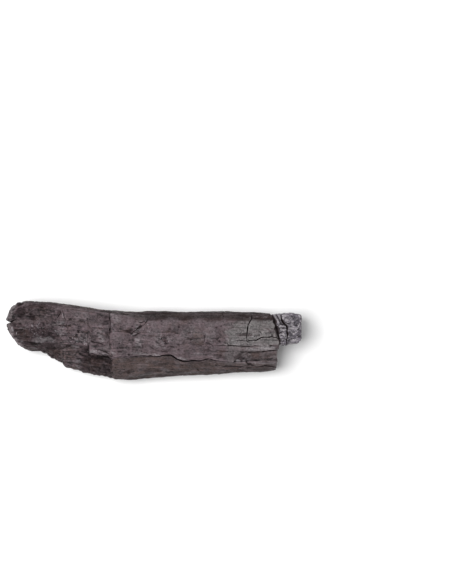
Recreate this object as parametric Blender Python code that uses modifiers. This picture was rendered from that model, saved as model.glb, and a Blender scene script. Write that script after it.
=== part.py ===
"""A lump of hardwood charcoal: a length of split log, burnt through, that lies on its split face.

The lump is one piece. Its body is a loft with lines that run along the grain. A stub of heartwood, joined
to the body, stands out of the broken right end. The cracks, the notch in the left end and the broken
recesses are cut from the whole. X runs along the grain, Y across it, and the lump lies on the plane Z = 0.
Lengths in this script are in millimetres, and MM takes them to Blender's metres.
"""

import bmesh
import bpy
import numpy as np
from mathutils import Vector, noise
from mathutils.bvhtree import BVHTree

MM = 0.001
SEED = 7

# The log without its stub, and how far the shape of each end is spread along the grain
LEFT, RIGHT = -117.4, 98.6
LEFT_SPREAD, RIGHT_SPREAD = 58.0, 26.0
END_ROUND = 2.4
RING_GAP = 4.1

# Where the surface breaks off in a step across the grain, as (start, end)
LEDGE_BREAK = (-52.2, -50.6)
SLAB_BREAK = (-34.8, -33.2)

# Lines along the grain, each a list of (X, value): where the edges run across the log
FAR_EDGE = (
    (-104, 31.2), (-84, 29.8), (-61, 27.2), (-38, 24.0), (-15, 21.8), (21, 22.2), (50, 23.2), (74, 21.8),
    (98, 20.0),
)
NEAR_EDGE = (
    (-104, -8.4), (-98, -9.0), (-91, -9.4), (-85.7, -11.4), (-81, -15.0), (-79, -17.2), (-75, -18.2),
    (-72, -21.0), (-64, -23.4), (-52, -27.8), (-36, -30.4), (-19, -31.0), (2, -29.6), (21, -28.2), (45, -27.4),
    (65, -26.4), (84, -25.4), (98, -24.0),
)
# The long split between the top and the slab along the near side
SPLIT = (
    (-33.2, -14.0), (-26.5, -12.6), (-19.3, -13.2), (-16.7, -12.3), (-8, -12.0), (4, -12.3), (11.5, -11.3),
    (15.3, -12.3), (18.3, -14.7), (23.3, -16.4), (37, -15.9), (43.5, -14.4), (54.6, -16.6), (64.3, -17.1),
)
LIP_EDGE = (
    (-117, 1.0), (-80, -2.0), (-62, -3.0), (-52.2, -4.0), (-50.6, -9.6), (-34.8, -11.6), *SPLIT, (98, -17.6),
)

# Heights along the grain
CROWN_HEIGHT = (
    (-117, 29.0), (-100, 31.5), (-78, 33.0), (-52, 35.0), (-34.8, 35.8), (-33.2, 37.0), (0, 38.2), (40, 38.0),
    (74, 37.2), (98, 36.0),
)
LIP_HEIGHT = (
    (-117, 26.0), (-80, 28.5), (-52.2, 29.5), (-50.6, 32.6), (-34.8, 33.2), (-33.2, 34.2), (10, 35.4),
    (60, 34.8), (98, 33.4),
)
FOOT_HEIGHT = (
    (-117, 25.2), (-80, 26.6), (-62, 25.6), (-50.6, 25.0), (-34.8, 24.4), (-33.2, 32.9), (10, 33.6),
    (60, 33.0), (98, 32.0),
)
SLAB_HEIGHT = (
    (-117, 21.0), (-84, 21.5), (-60, 19.0), (-34.8, 18.4), (-33.2, 25.6), (10, 26.2), (60, 26.6), (98, 25.6),
)
KEEL_HEIGHT = ((-117, 6.5), (-98, 4.4), (-80, 1.4), (-66, 0.0), (70, 0.0), (84, 1.2), (98, 3.4))
TOE_RISE = 4.2

# Places across the section: the crown between the lip and the far edge, how far the toes lie in from the
# sides, the keel's ends as shares of the width, and the slab's shoulder between the near edge and the lip
CROWN_SHARE = 0.45
FAR_TOE, NEAR_TOE = 3.4, 4.6
FAR_KEEL_SHARE, NEAR_KEEL_SHARE = 0.17, 0.24
SLAB_SHARE = 0.36
FOOT_UNDERCUT = 0.9

# How far in from the far edge the top turns over, and how far it has dropped there
FAR_SHOULDER = ((-117, 2.6), (-60, 2.0), (-38, 2.2), (-12, 4.8), (98, 5.6))
FAR_DROP = ((-117, 1.6), (-60, 1.2), (-38, 1.4), (-12, 3.6), (98, 4.4))
# How sharp the corners of the section are: 0 is a smooth curve, 1 is straight from corner to corner
SHARPNESS = 0.5

# Points of the end faces, as (Y, X)
LEFT_END = (
    (-9.8, -97.5), (-7.6, -102.5), (-5.4, -107.0), (-0.6, -111.4), (3.4, -114.2), (7.4, -116.2),
    (11.5, -117.3), (16.8, -117.4), (22.6, -115.8), (27.4, -112.8), (30.0, -108.0), (31.2, -103.0),
)
RIGHT_END = (
    (-24, 98.1), (-7.8, 98.2), (-6.0, 99.6), (0.4, 101.0), (2.3, 98.4), (10, 96.6), (17, 94.6), (20.4, 91.0),
)

# How many faces each stretch of the section gets, from the lip of the split round to its foot
SECTION_FACES = (9, 6, 6, 5, 3, 8, 3, 5, 5, 6)
CAP_RINGS = 4

# The grain's relief, each (length along the grain, width across it, height)
BROAD_RIDGES = (46.0, 13.0, 1.1)
NARROW_RIDGES = (34.0, 5.6, 1.7)
UNDERSIDE_HOLLOWS = (38.0, 7.5, 3.2)
STUB_FACETS = (7.0, 6.5, 1.1)
STUB_GRAIN = (12.0, 3.4, 1.1)

# The spot of the underside that stays flat, as (X, Y), and its radius
REST_SPOT = (4.0, -4.0)
REST_RADIUS = 9.0

# The stub of heartwood: its outline from above, as (X, Y), and its bottom and top
STUB_OUTLINE = (
    (84, 17.0), (95, 18.5), (100, 21.0), (117.0, 20.5), (117.2, 2.2), (114.8, -2.0), (108, -2.7), (105, -3.9), (96, -1.6),
    (84, -1.0),
)
STUB_BOTTOM, STUB_TOP = 9.0, 32.6
STUB_GRID = 2.2

# The recess broken out above the slab at the right end, as (X, Y), and its depth
RECESS_OUTLINE = (
    (62.5, -16.9), (67.5, -13.4), (73.5, -9.7), (79, -9.0), (110, -7.2), (110, -15.0), (90, -15.3),
    (80, -16.0),
)
RECESS_AT, RECESS_DEPTH, RECESS_SLOPE = 80.0, 3.4, 0.5
CLEAR_ABOVE = 60.0

# Cracks seen from above, each (name, path of (X, Y), width at the surface, depth)
TOP_CRACKS = (
    ("long_split", SPLIT, 1.5, 8.0),
    ("notch", ((-122, 14.7), (-113, 14.8), (-108, 16.2)), 2.6, 9.0),
    ("ring_crack_left", ((-73.7, 25.5), (-70.9, 20.7), (-68.1, 7.2), (-67.6, 4.2), (-64.1, 1.3)), 1.1, 3.5),
    ("ring_crack_branch", ((-73.9, 24.4), (-75.5, 20.6), (-77.3, 16.8)), 0.9, 2.5),
    ("ring_crack_middle", ((-35.3, 22.9), (-34.7, 13), (-34.6, 2.3), (-33.9, -6.2), (-33.4, -13.2)), 1.2, 5.0),
    ("gash", ((-4.1, 17.3), (-7.5, 12.4), (-12.8, 9.6), (-18.1, 5.2)), 2.4, 4.0),
    ("end_crack_across", ((77.2, 20.4), (78.3, 17.8), (74.8, 12.4), (73.9, 2.3), (73.9, -0.6)), 1.1, 6.5),
    ("end_crack_along", ((62.8, -0.2), (81.5, 0.4), (86.3, 2.8), (93.7, 3.2), (99.5, 1.3)), 1.0, 6.0),
    ("end_crack_fine", ((47.9, -4), (65.2, -4), (71.6, -4.5), (88, -4.2)), 0.9, 2.6),
    ("slab_crack", ((78, -20.4), (88, -20.0), (99, -20.8)), 0.9, 2.4),
    ("shell_gap", ((92.4, 23), (96.6, 17), (98.8, 9), (101.2, 1.5), (102.6, -2.5)), 4.2, 10.0),
    ("stub_crack", ((104.2, 23.5), (106.6, 13.2), (110, 10), (109.6, 4), (107.8, -4.2)), 1.4, 7.5),
)
# Cracks seen from the far side, as (X, Z)
FAR_CRACKS = (
    ("far_check_long", ((-92, 19), (-60, 20.4), (-28, 18.2), (4, 19.4)), 1.4, 4.5),
    ("far_check_right", ((22, 25.5), (48, 26.6), (72, 24.0), (90, 24.8)), 1.2, 4.0),
    ("far_ring_left", ((-70.4, 30), (-71.5, 22), (-69.6, 13)), 1.1, 3.0),
    ("far_ring_middle", ((-36, 32), (-37.8, 24), (-39.6, 15), (-38.9, 7)), 1.2, 3.5),
    ("far_ring_right", ((56, 33), (54.6, 25), (57, 14)), 1.0, 3.0),
)
# Cracks seen from the near side, as (X, Z)
NEAR_CRACKS = (
    ("near_check", ((-24, 10.4), (8, 12.2), (40, 11.0), (70, 12.4)), 1.3, 4.5),
    ("near_ring", ((24, 19), (22.4, 13), (24.8, 6.5)), 1.0, 3.0),
)
# Radial cracks of the left end face, as (Y, Z), from the heart outwards
LEFT_CRACKS = (
    ("end_notch", ((15.4, 26), (14.6, 22), (12.6, 17.5)), 2.6, 6.0),
    ("left_check_far", ((14.2, 15.6), (20.0, 14.6), (26.5, 15.8)), 1.3, 5.0),
    ("left_check_low", ((10.4, 15.0), (6.5, 11.6), (4.2, 8.0)), 1.2, 4.5),
)
# Radial cracks of the right end face below the stub, as (Y, Z)
RIGHT_CRACKS = (
    ("right_check_near", ((-6.0, 21.0), (-13.5, 19.0), (-20.5, 19.8)), 1.3, 6.0),
    ("right_check_low", ((-7.5, 19.5), (-10.5, 12.5), (-12.0, 6.5)), 1.1, 5.0),
)
CRACKS = {
    "top": TOP_CRACKS,
    "far": FAR_CRACKS,
    "near": NEAR_CRACKS,
    "left": LEFT_CRACKS,
    "right": RIGHT_CRACKS,
}

CRACK_STEP = 3.5
CRACK_WANDER = 0.35
CRACK_REACH = 3.0

CHARCOAL_COLOUR = (0.092, 0.078, 0.081, 1.0)
CHARCOAL_ROUGHNESS = 0.72


def along(x, line):
    """The value at x of a line given as (x, value) pairs."""
    places, values = zip(*line)
    return np.interp(x, places, values)


def clear_scene():
    for obj in list(bpy.data.objects):
        bpy.data.objects.remove(obj)


def collection(name):
    made = bpy.data.collections.new(name)
    bpy.context.scene.collection.children.link(made)
    return made


def mesh_object(name, points, faces, group):
    """A closed mesh from points in millimetres, with its faces turned outwards."""
    mesh = bpy.data.meshes.new(name)
    mesh.from_pydata([Vector(p) * MM for p in points], [], faces)
    work = bmesh.new()
    work.from_mesh(mesh)
    bmesh.ops.recalc_face_normals(work, faces=work.faces)
    work.to_mesh(mesh)
    work.free()
    made = bpy.data.objects.new(name, mesh)
    group.objects.link(made)
    return made


def ring_places():
    """Where the rings of the loft lie, with a close pair at each step across the grain."""
    stops = (LEFT, *LEDGE_BREAK, *SLAB_BREAK, RIGHT)
    places = [
        np.linspace(start, end, max(1, round((end - start) / RING_GAP)) + 1)
        for start, end in zip(stops, stops[1:])
    ]
    return np.unique(np.concatenate(places))


def section_corners(x):
    """The corners of the log's section at x, as (Y, Z), from the lip of the split over the top to its foot."""
    lip, far, near = along(x, LIP_EDGE), along(x, FAR_EDGE), along(x, NEAR_EDGE)
    crown, keel = along(x, CROWN_HEIGHT), along(x, KEEL_HEIGHT)
    foot, slab = along(x, FOOT_HEIGHT), along(x, SLAB_HEIGHT)
    width = far - near
    return (
        (lip, along(x, LIP_HEIGHT)),
        (lip + CROWN_SHARE * (far - lip), crown),
        (far - along(x, FAR_SHOULDER), crown - along(x, FAR_DROP)),
        (far, 0.52 * crown + 0.4 * keel),
        (far - FAR_TOE, keel + TOE_RISE),
        (far - FAR_KEEL_SHARE * width, keel),
        (near + NEAR_KEEL_SHARE * width, keel),
        (near + NEAR_TOE, keel + TOE_RISE),
        (near, 0.58 * slab + 0.2 * keel),
        (near + SLAB_SHARE * (lip - near), slab),
        (lip - FOOT_UNDERCUT, foot),
    )


def section_weights(faces):
    """How much each corner of the section counts at each point round it, on a spline pulled to its chords."""
    corners = np.eye(len(faces) + 1)
    knots = np.vstack([2 * corners[0] - corners[1], corners, 2 * corners[-1] - corners[-2]])
    rows = []
    for i, count in enumerate(faces):
        before, start, end, after = knots[i : i + 4]
        slope = end - before
        bend = 2 * before - 5 * start + 4 * end - after
        twist = 3 * start - before - 3 * end + after
        for t in np.arange(count) / count:
            curved = start + 0.5 * (slope * t + bend * t**2 + twist * t**3)
            straight = start + (end - start) * t
            rows.append(curved + (straight - curved) * SHARPNESS)
    return np.array([*rows, corners[-1]])


def end_weights(x):
    """How much each end's shape moves a ring at x."""
    left = np.clip(1 - (x - LEFT) / LEFT_SPREAD, 0, 1) ** 2
    right = np.clip(1 - (RIGHT - x) / RIGHT_SPREAD, 0, 1)
    return left, right


def log_surface():
    """Points of the log as an array of rings, points round a ring, and X, Y, Z."""
    weights = section_weights(SECTION_FACES)
    rings = ring_places()[:, None]
    x = np.repeat(rings, len(weights), axis=1)
    left, right = end_weights(x)
    for _ in range(6):
        y, z = np.einsum("pc,cdrp->drp", weights, np.array(section_corners(x)))
        x = rings + left * (along(y, LEFT_END) - LEFT) + right * (along(y, RIGHT_END) - RIGHT)
    return np.stack([x, y, z], axis=-1)


def swell(place, relief, shift):
    """Smooth noise that is drawn out along the grain, about -1 to 1 times the relief's height."""
    length, width, height = relief
    x, y, z = place
    return height * noise.noise(Vector((x / length, y / width, z / width + shift)))


def crest(place, relief, shift):
    """The same with sharp crests: highest where the noise passes through nought."""
    return 0.4 * relief[2] - abs(swell(place, relief, shift))


def ridges(points):
    """Long low ridges of the grain, in millimetres, for each point of the surface."""
    heights = [
        swell(place, BROAD_RIDGES, SEED) + crest(place, NARROW_RIDGES, -SEED)
        for place in points.reshape(-1, 3)
    ]
    return np.reshape(heights, points.shape[:2])


def hollows(points):
    """How far the underside rises in hollows along the grain, in millimetres, for each point."""
    rise = [max(0, swell((x, y, 0), UNDERSIDE_HOLLOWS, SEED + 0.5) - 0.2) for x, y, _ in points.reshape(-1, 3)]
    from_rest = np.hypot(points[..., 0] - REST_SPOT[0], points[..., 1] - REST_SPOT[1])
    return np.reshape(rise, points.shape[:2]) * np.clip(from_rest / REST_RADIUS - 1, 0, 1)


def outward(points):
    """The outward direction across the grain at each point of the rings."""
    ahead = np.roll(points, -1, axis=1)
    behind = np.roll(points, 1, axis=1)
    run = ahead - behind
    normal = np.stack([np.zeros_like(run[..., 0]), -run[..., 2], run[..., 1]], axis=-1)
    return normal / np.linalg.norm(normal, axis=-1, keepdims=True)


def end_wear(rings):
    """How far the arris of each end is worn away, for each ring."""
    to_end = np.minimum(rings - LEFT, RIGHT - rings)
    short = np.clip(END_ROUND - to_end, 0, END_ROUND)
    return END_ROUND - np.sqrt(END_ROUND**2 - short**2)


def cap(points, end_line, inwards):
    """Smaller and smaller rings that close an end face, which follows the line of that end."""
    ring = points[0] if inwards > 0 else points[-1]
    centre = ring.mean(axis=0)
    made = []
    for step in range(1, CAP_RINGS + 1):
        share = step / (CAP_RINGS + 1)
        inner = ring + (centre - ring) * share
        dish = 1.2 * noise.noise(Vector((step * 0.7, SEED, inwards)))
        target = along(inner[:, 1], end_line) + inwards * (0.6 + dish)
        blend = min(1.0, share * 2.5)
        inner[:, 0] = inner[:, 0] * (1 - blend) + target * blend
        made.append(inner)
    middle = made[-1].mean(axis=0)
    return np.concatenate([*made, middle[None]])


def make_log(group):
    """The body of the log: rings of the loft, closed by a worn face at each end."""
    points = log_surface()
    rings = ring_places()
    push = ridges(points) - 0.85 * end_wear(rings)[:, None]
    underside = points[..., 2] < 0.3
    push[underside] = 0
    rise = np.where(underside, hollows(points), 0)
    points = points + outward(points) * push[..., None]
    points[..., 2] = np.maximum(points[..., 2], 0) + rise

    ring_count, around = points.shape[:2]
    left_cap = cap(points, LEFT_END, 1)
    right_cap = cap(points, RIGHT_END, -1)
    everything = np.concatenate([points.reshape(-1, 3), left_cap, right_cap])

    def strip(first, second):
        turned = np.roll(np.arange(around), -1)
        return [(first + a, first + b, second + b, second + a) for a, b in zip(range(around), turned)]

    faces = []
    for ring in range(ring_count - 1):
        faces += strip(ring * around, (ring + 1) * around)
    start = ring_count * around
    for edge_ring, size in ((0, len(left_cap)), (ring_count - 1, len(right_cap))):
        outer = edge_ring * around
        for step in range(CAP_RINGS):
            faces += strip(outer, start + step * around)
            outer = start + step * around
        middle = start + size - 1
        faces += [(outer + a, outer + (a + 1) % around, middle) for a in range(around)]
        start += size
    return mesh_object("charcoal_lump", everything, faces, group)


def prism(name, outline, bottom, top, group):
    """A straight-sided block on an outline, from a flat curve that is extruded both ways."""
    curve = bpy.data.curves.new(name, "CURVE")
    curve.dimensions = "2D"
    curve.fill_mode = "BOTH"
    curve.extrude = (top - bottom) / 2 * MM
    line = curve.splines.new("POLY")
    line.points.add(len(outline) - 1)
    for point, (x, y) in zip(line.points, outline):
        point.co = (x * MM, y * MM, 0, 1)
    line.use_cyclic_u = True
    flat = bpy.data.objects.new(name, curve)
    flat.location.z = (top + bottom) / 2 * MM
    group.objects.link(flat)
    return to_mesh(flat, group)


def to_mesh(flat, group):
    """The curve object made a mesh object of the same name, with its caps welded on."""
    bpy.context.view_layer.update()
    graph = bpy.context.evaluated_depsgraph_get()
    mesh = bpy.data.meshes.new_from_object(flat.evaluated_get(graph))
    work = bmesh.new()
    work.from_mesh(mesh)
    bmesh.ops.remove_doubles(work, verts=work.verts, dist=0.01 * MM)
    bmesh.ops.recalc_face_normals(work, faces=work.faces)
    work.to_mesh(mesh)
    work.free()
    name, place = flat.name, flat.matrix_world.copy()
    bpy.data.objects.remove(flat)
    made = bpy.data.objects.new(name, mesh)
    made.matrix_world = place
    group.objects.link(made)
    return made


def make_stub(group):
    """The heartwood that stands out of the right end, broken to a rough face on all sides."""
    stub = prism("heartwood_stub", STUB_OUTLINE, STUB_BOTTOM, STUB_TOP, group)
    grid = stub.modifiers.new("grid", "REMESH")
    grid.mode = "VOXEL"
    grid.voxel_size = STUB_GRID * MM
    apply_modifiers(stub)
    for vertex in stub.data.vertices:
        place = vertex.co / MM
        push = swell(place, STUB_FACETS, SEED) + crest(place, STUB_GRAIN, -SEED)
        vertex.co += vertex.normal * push * MM
    return stub


def make_recess(group):
    """The cutter of the shallow recess, with a floor that slopes as the slab does."""
    lip_height, lip_edge = along(RECESS_AT, LIP_HEIGHT), along(RECESS_AT, LIP_EDGE)
    block = prism("recess_cutter", RECESS_OUTLINE, 0, CLEAR_ABOVE, group)
    for vertex in block.data.vertices:
        if vertex.co.z < 0:
            fall = (lip_edge - vertex.co.y / MM) * RECESS_SLOPE
            vertex.co.z = (lip_height - fall - RECESS_DEPTH - CLEAR_ABOVE / 2) * MM
    return block


def wandering(path, random):
    """The path with points close together, each moved a little to the side, as a crack in grain runs."""
    path = np.array(path, float)
    runs = np.linalg.norm(np.diff(path, axis=0), axis=1)
    distance = np.concatenate([[0], np.cumsum(runs)])
    count = max(4, round(distance[-1] / CRACK_STEP) + 1)
    places = np.linspace(0, distance[-1], count)
    dense = np.stack([np.interp(places, distance, path[:, k]) for k in range(2)], axis=1)
    direction = np.gradient(dense, axis=0)
    direction /= np.linalg.norm(direction, axis=1, keepdims=True)
    side = np.stack([-direction[:, 1], direction[:, 0]], axis=1)
    sway = random.uniform(-CRACK_WANDER, CRACK_WANDER, count)
    sway[[0, -1]] = 0
    return dense + side * sway[:, None], side


def surface_distances(starts, into, tree):
    """How far the surface lies from each start. One that looks past the lump takes its neighbours' value."""
    hits = [tree.ray_cast(start * MM, Vector(into))[3] for start in starts]
    found = [i for i, distance in enumerate(hits) if distance is not None]
    return np.interp(range(len(hits)), found, [hits[i] / MM for i in found])


def crack_cutter(name, path, width, depth, view, tree, random, group):
    """A wedge along a crack. The view says which way the path is seen: from the top, a side or an end."""
    place, into = VIEWS[view]
    middle, side = wandering(path, random)
    count = len(middle)
    taper = np.sqrt(np.sin(np.linspace(0.12, 0.88, count) * np.pi))
    starts = [Vector(place(a, b)) for a, b in middle]
    distances = surface_distances(starts, into, tree)
    points = []
    for start, distance, (side_a, side_b), share in zip(starts, distances, side, taper):
        surface = start + Vector(into) * distance
        half = width / 2 * share * (1 + CRACK_REACH / depth)
        across = Vector(place(side_a, side_b)) - Vector(place(0, 0))
        above = surface - Vector(into) * CRACK_REACH
        points += [above + across * half, above - across * half, surface + Vector(into) * depth * share]
    faces = [(0, 1, 2), (3 * count - 3, 3 * count - 1, 3 * count - 2)]
    for i in range(0, 3 * count - 3, 3):
        for a, b in ((0, 1), (1, 2), (2, 0)):
            faces.append((i + a, i + b, i + 3 + b, i + 3 + a))
    return mesh_object(name + "_cutter", points, faces, group)


# Where a path's point lies for each view, and which way that view looks
FAR_OFF = 200.0
VIEWS = {
    "top": (lambda a, b: (a, b, FAR_OFF), (0, 0, -1)),
    "far": (lambda a, b: (a, FAR_OFF, b), (0, -1, 0)),
    "near": (lambda a, b: (a, -FAR_OFF, b), (0, 1, 0)),
    "left": (lambda a, b: (-FAR_OFF, a, b), (1, 0, 0)),
    "right": (lambda a, b: (FAR_OFF, a, b), (-1, 0, 0)),
}


def apply_modifiers(obj):
    """The object's mesh made what its modifiers show."""
    bpy.context.view_layer.update()
    graph = bpy.context.evaluated_depsgraph_get()
    finished = bpy.data.meshes.new_from_object(obj.evaluated_get(graph))
    obj.modifiers.clear()
    obj.data = finished


def join(body, other):
    """The body with the other solid joined to it for good."""
    modifier = body.modifiers.new("join_" + other.name, "BOOLEAN")
    modifier.operation = "UNION"
    modifier.object = other
    apply_modifiers(body)
    bpy.data.objects.remove(other)


def cut(body, cutter):
    """A live cut of the body, with the cutter kept as a hidden helper.

    Thin wedges that cross each other leave the exact solver with faces that touch, so this one is manifold.
    """
    cutter.hide_render = True
    cutter.display_type = "WIRE"
    modifier = body.modifiers.new("cut_" + cutter.name, "BOOLEAN")
    modifier.operation = "DIFFERENCE"
    modifier.solver = "MANIFOLD"
    modifier.object = cutter


def charcoal_material():
    material = bpy.data.materials.new("charcoal")
    material.use_nodes = True
    shader = material.node_tree.nodes["Principled BSDF"]
    shader.inputs["Base Color"].default_value = CHARCOAL_COLOUR
    shader.inputs["Roughness"].default_value = CHARCOAL_ROUGHNESS
    shader.inputs["Metallic"].default_value = 0.0
    return material


def main():
    clear_scene()
    lump_group, cutter_group = collection("charcoal_lump"), collection("cutters")
    random = np.random.default_rng(SEED)
    lump = make_log(lump_group)
    join(lump, make_stub(lump_group))
    mesh = lump.data
    tree = BVHTree.FromPolygons([v.co for v in mesh.vertices], [p.vertices for p in mesh.polygons])
    cut(lump, make_recess(cutter_group))
    for view, cracks in CRACKS.items():
        for name, path, width, depth in cracks:
            cut(lump, crack_cutter(name, path, width, depth, view, tree, random, cutter_group))
    lump.data.materials.clear()
    lump.data.materials.append(charcoal_material())


main()
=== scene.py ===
"""The looks of a charcoal lump: a length of split log, burnt through, that lies on its split face.

The log starts as a cylinder, cut into short lengths and bent in code to the lines along the grain, which are
the lines of the CAD solid. The heartwood stub is joined to it, and the recess and the cracks are cut from
it. The finished surface carries masks that its materials read: soot with painted shade, ash, brown wood,
dark marks with painted shadows, pale worn lips with painted highlights, painted glints, fibres, roughness,
crests with painted shade between them, and how deep it lies below the uncut surface, which paints shade
into the cracks.
X runs along the grain and Y across it. Lengths are in millimetres, and MM takes them to metres.
"""

from types import SimpleNamespace

import bpy
import numpy as np
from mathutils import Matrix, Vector, noise
from mathutils.bvhtree import BVHTree


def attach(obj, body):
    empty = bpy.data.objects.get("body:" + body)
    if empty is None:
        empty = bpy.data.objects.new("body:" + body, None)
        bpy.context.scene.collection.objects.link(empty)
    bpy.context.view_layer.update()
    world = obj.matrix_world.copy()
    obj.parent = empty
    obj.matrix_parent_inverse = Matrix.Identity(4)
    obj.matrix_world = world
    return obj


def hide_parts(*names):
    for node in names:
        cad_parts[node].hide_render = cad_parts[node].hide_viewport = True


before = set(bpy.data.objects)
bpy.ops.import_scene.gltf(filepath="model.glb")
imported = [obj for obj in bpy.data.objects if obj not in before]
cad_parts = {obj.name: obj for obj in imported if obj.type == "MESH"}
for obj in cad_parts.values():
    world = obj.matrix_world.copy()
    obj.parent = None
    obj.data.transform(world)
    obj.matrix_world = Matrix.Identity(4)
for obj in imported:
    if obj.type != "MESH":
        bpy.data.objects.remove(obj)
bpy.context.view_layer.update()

MM = 0.001
SEED = 7

# The log without its stub, how far the shape of each end is spread along the grain, and how far in and by
# what share the arris of the ends is rounded
LEFT, RIGHT = -117.4, 98.6
LEFT_SPREAD, RIGHT_SPREAD = 58.0, 26.0
END_ROUND, END_WEAR = 2.4, 0.85

# Where the surface breaks off in a step across the grain, as (start, end), how far the break runs to and fro,
# and what sets the length of its waves across and up, and of the smaller ones
LEDGE_BREAK = (-52.2, -50.6)
SLAB_BREAK = (-34.8, -33.2)
BREAK_WOBBLE = 0.7
WAVE_ACROSS, WAVE_UP, SMALL_WAVE = 1.9, 1.3, 0.8

# Lines along the grain, each a list of (X, value): where the edges run across the log
FAR_EDGE = (
    (-104, 31.2), (-84, 29.8), (-61, 27.2), (-38, 24.0), (-15, 22.2), (21, 22.4), (50, 22.6), (74, 22.2),
    (98, 21.4),
)
NEAR_EDGE = (
    (-104, -8.4), (-98, -9.0), (-91, -9.4), (-85.7, -11.4), (-81, -15.0), (-79, -17.2), (-75, -18.2),
    (-72, -21.0), (-64, -23.4), (-52, -27.8), (-36, -30.4), (-19, -31.0), (2, -29.6), (21, -28.2),
    (45, -27.4), (65, -26.4), (84, -25.4), (98, -24.0),
)
# The long split between the top and the slab along the near side
SPLIT = (
    (-33.2, -14.0), (-26.5, -12.6), (-19.3, -13.2), (-16.7, -12.3), (-8, -12.0), (4, -12.3), (11.5, -11.3),
    (15.3, -12.3), (18.3, -14.7), (23.3, -16.4), (37, -15.9), (43.5, -14.4), (54.6, -16.6), (64.3, -17.1),
)
LIP_EDGE = (
    (-117, 1.0), (-80, -2.0), (-62, -3.0), (-52.2, -4.0), (-50.6, -9.6), (-34.8, -11.6), *SPLIT, (98, -17.6),
)

# Heights along the grain
CROWN_HEIGHT = (
    (-117, 29.0), (-100, 31.5), (-78, 33.0), (-52, 35.0), (-34.8, 35.8), (-33.2, 37.0), (0, 38.2),
    (40, 38.0), (74, 37.2), (98, 36.0),
)
LIP_HEIGHT = (
    (-117, 26.0), (-80, 28.5), (-52.2, 29.5), (-50.6, 32.6), (-34.8, 33.2), (-33.2, 34.2), (10, 35.4),
    (60, 34.8), (98, 33.4),
)
FOOT_HEIGHT = (
    (-117, 25.2), (-80, 26.6), (-62, 25.6), (-50.6, 25.0), (-34.8, 24.4), (-33.2, 32.9), (10, 33.6),
    (60, 33.0), (98, 32.0),
)
SLAB_HEIGHT = (
    (-117, 21.0), (-84, 21.5), (-60, 19.0), (-34.8, 18.4), (-33.2, 25.6), (10, 26.2), (60, 26.6), (98, 25.6),
)
KEEL_HEIGHT = ((-117, 6.5), (-98, 4.4), (-80, 1.4), (-66, 0.0), (70, 0.0), (84, 1.2), (98, 3.4))
# How far the toes rise above the keel
TOE_RISE = 4.2

# Places across the section: the crown between the lip and the far edge, how far the toes lie in from the
# sides, the keel's ends as shares of the width, and the slab's shoulder between the near edge and the lip
CROWN_SHARE = 0.45
FAR_TOE, NEAR_TOE = 3.4, 4.6
FAR_KEEL_SHARE, NEAR_KEEL_SHARE = 0.17, 0.24
SLAB_SHARE = 0.36
FOOT_UNDERCUT = 0.9
# Heights of the section's widest points, as shares of the height of the crown or slab and of the keel's
FAR_WAIST, NEAR_WAIST = (0.52, 0.4), (0.58, 0.2)

# How far in from the far edge the top turns over, and how far it has dropped there
FAR_SHOULDER = ((-117, 2.6), (-60, 2.0), (-38, 2.2), (-12, 4.8), (98, 5.6))
FAR_DROP = ((-117, 1.6), (-60, 1.2), (-38, 1.4), (-12, 3.6), (98, 4.4))
# How sharp the corners of the section are: 0 is a smooth curve, 1 is straight from corner to corner
SHARPNESS = 0.5

# Points of the end faces, as (Y, X)
LEFT_END = (
    (-9.8, -97.5), (-7.6, -102.5), (-5.4, -107.0), (-0.6, -111.4), (3.4, -114.2), (7.4, -116.2),
    (11.5, -117.3), (16.8, -117.4), (22.6, -115.8), (27.4, -112.8), (30.0, -108.0), (31.2, -103.0),
)
RIGHT_END = (
    (-24, 98.1), (-7.8, 98.2), (-6.0, 99.6), (0.4, 101.0), (2.3, 98.4), (10, 96.8), (17, 95.6), (20.4, 93.6),
)
# The pith that the growth rings run round, as (Y, Z), and the width of a ring
PITH = (12.5, 12.0)
RING_WIDTH = 2.3
# The dish of an end face: its depth, its hollows and bumps as (size, height), and how far from the rim it is
# full; then the height of a ring, and the height and number of the rays
END_DEPTH, END_HOLLOWS, END_BUMPS, END_FADE = 0.6, (9.0, 1.6), (2.4, 0.5), 4.0
RING_HEIGHT, RAY_HEIGHT, RAYS = 0.22, 0.18, 23

# How many lengths the log is cut into between its ends and its two breaks, and how many faces each stretch
# of the section gets, from the lip of the split over the top and the underside, and up to the lip again
LOG_LENGTHS = (88, 6, 21, 6, 179)
SECTION_FACES = (32, 29, 27, 26, 9, 34, 9, 22, 26, 26, 10)
END_SPAN = 57
# An edge that turns more than this, in degrees, is sharp
SHARP_ANGLE = 42

# The grain's relief, each (length along the grain, width across it, height)
BROAD_RIDGES = (46.0, 13.0, 1.1)
NARROW_RIDGES = (34.0, 5.6, 1.7)
UNDERSIDE_HOLLOWS = (38.0, 7.5, 3.2)
FIBRES = (27.0, 2.5, 0.85)
THREADS = (13.0, 1.25, 0.42)
LUMPS = (5.5, 4.2, 0.5)
PITS = (2.2, 1.8, 0.42)
STUB_FACETS = (7.0, 6.5, 1.1)
STUB_GRAIN = (12.0, 3.4, 0.9)

# Layers of wood that have sprung off: their size and the raggedness of their edges, as above, the depth of
# one, how sharp its edge is, and for each layer a shift of the noise and the level where it is gone
FLAKES, FLAKE_RAGS = (26.0, 6.5, 1.0), (3.1, 1.6, 0.16)
FLAKE_DEPTH, FLAKE_EDGE = 0.75, 0.05
FLAKE_LAYERS = ((3.1, 0.16), (11.7, 0.27))

# Chips of a break: how much longer than wide they are, how far they lean, and what sets their centres so far
# apart that each gets a lean of its own
CHIP_LENGTH, CHIP_LEAN, CHIP_SPREAD = 1.7, 1.6, 3.7

# The smooth part of the top, as where it sets in and where it is full, along the grain and upwards, and how
# much lower its ridges are
SMOOTH_ALONG, SMOOTH_UP, SMOOTHED = (-37, -31), (26, 33), 0.7

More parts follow.
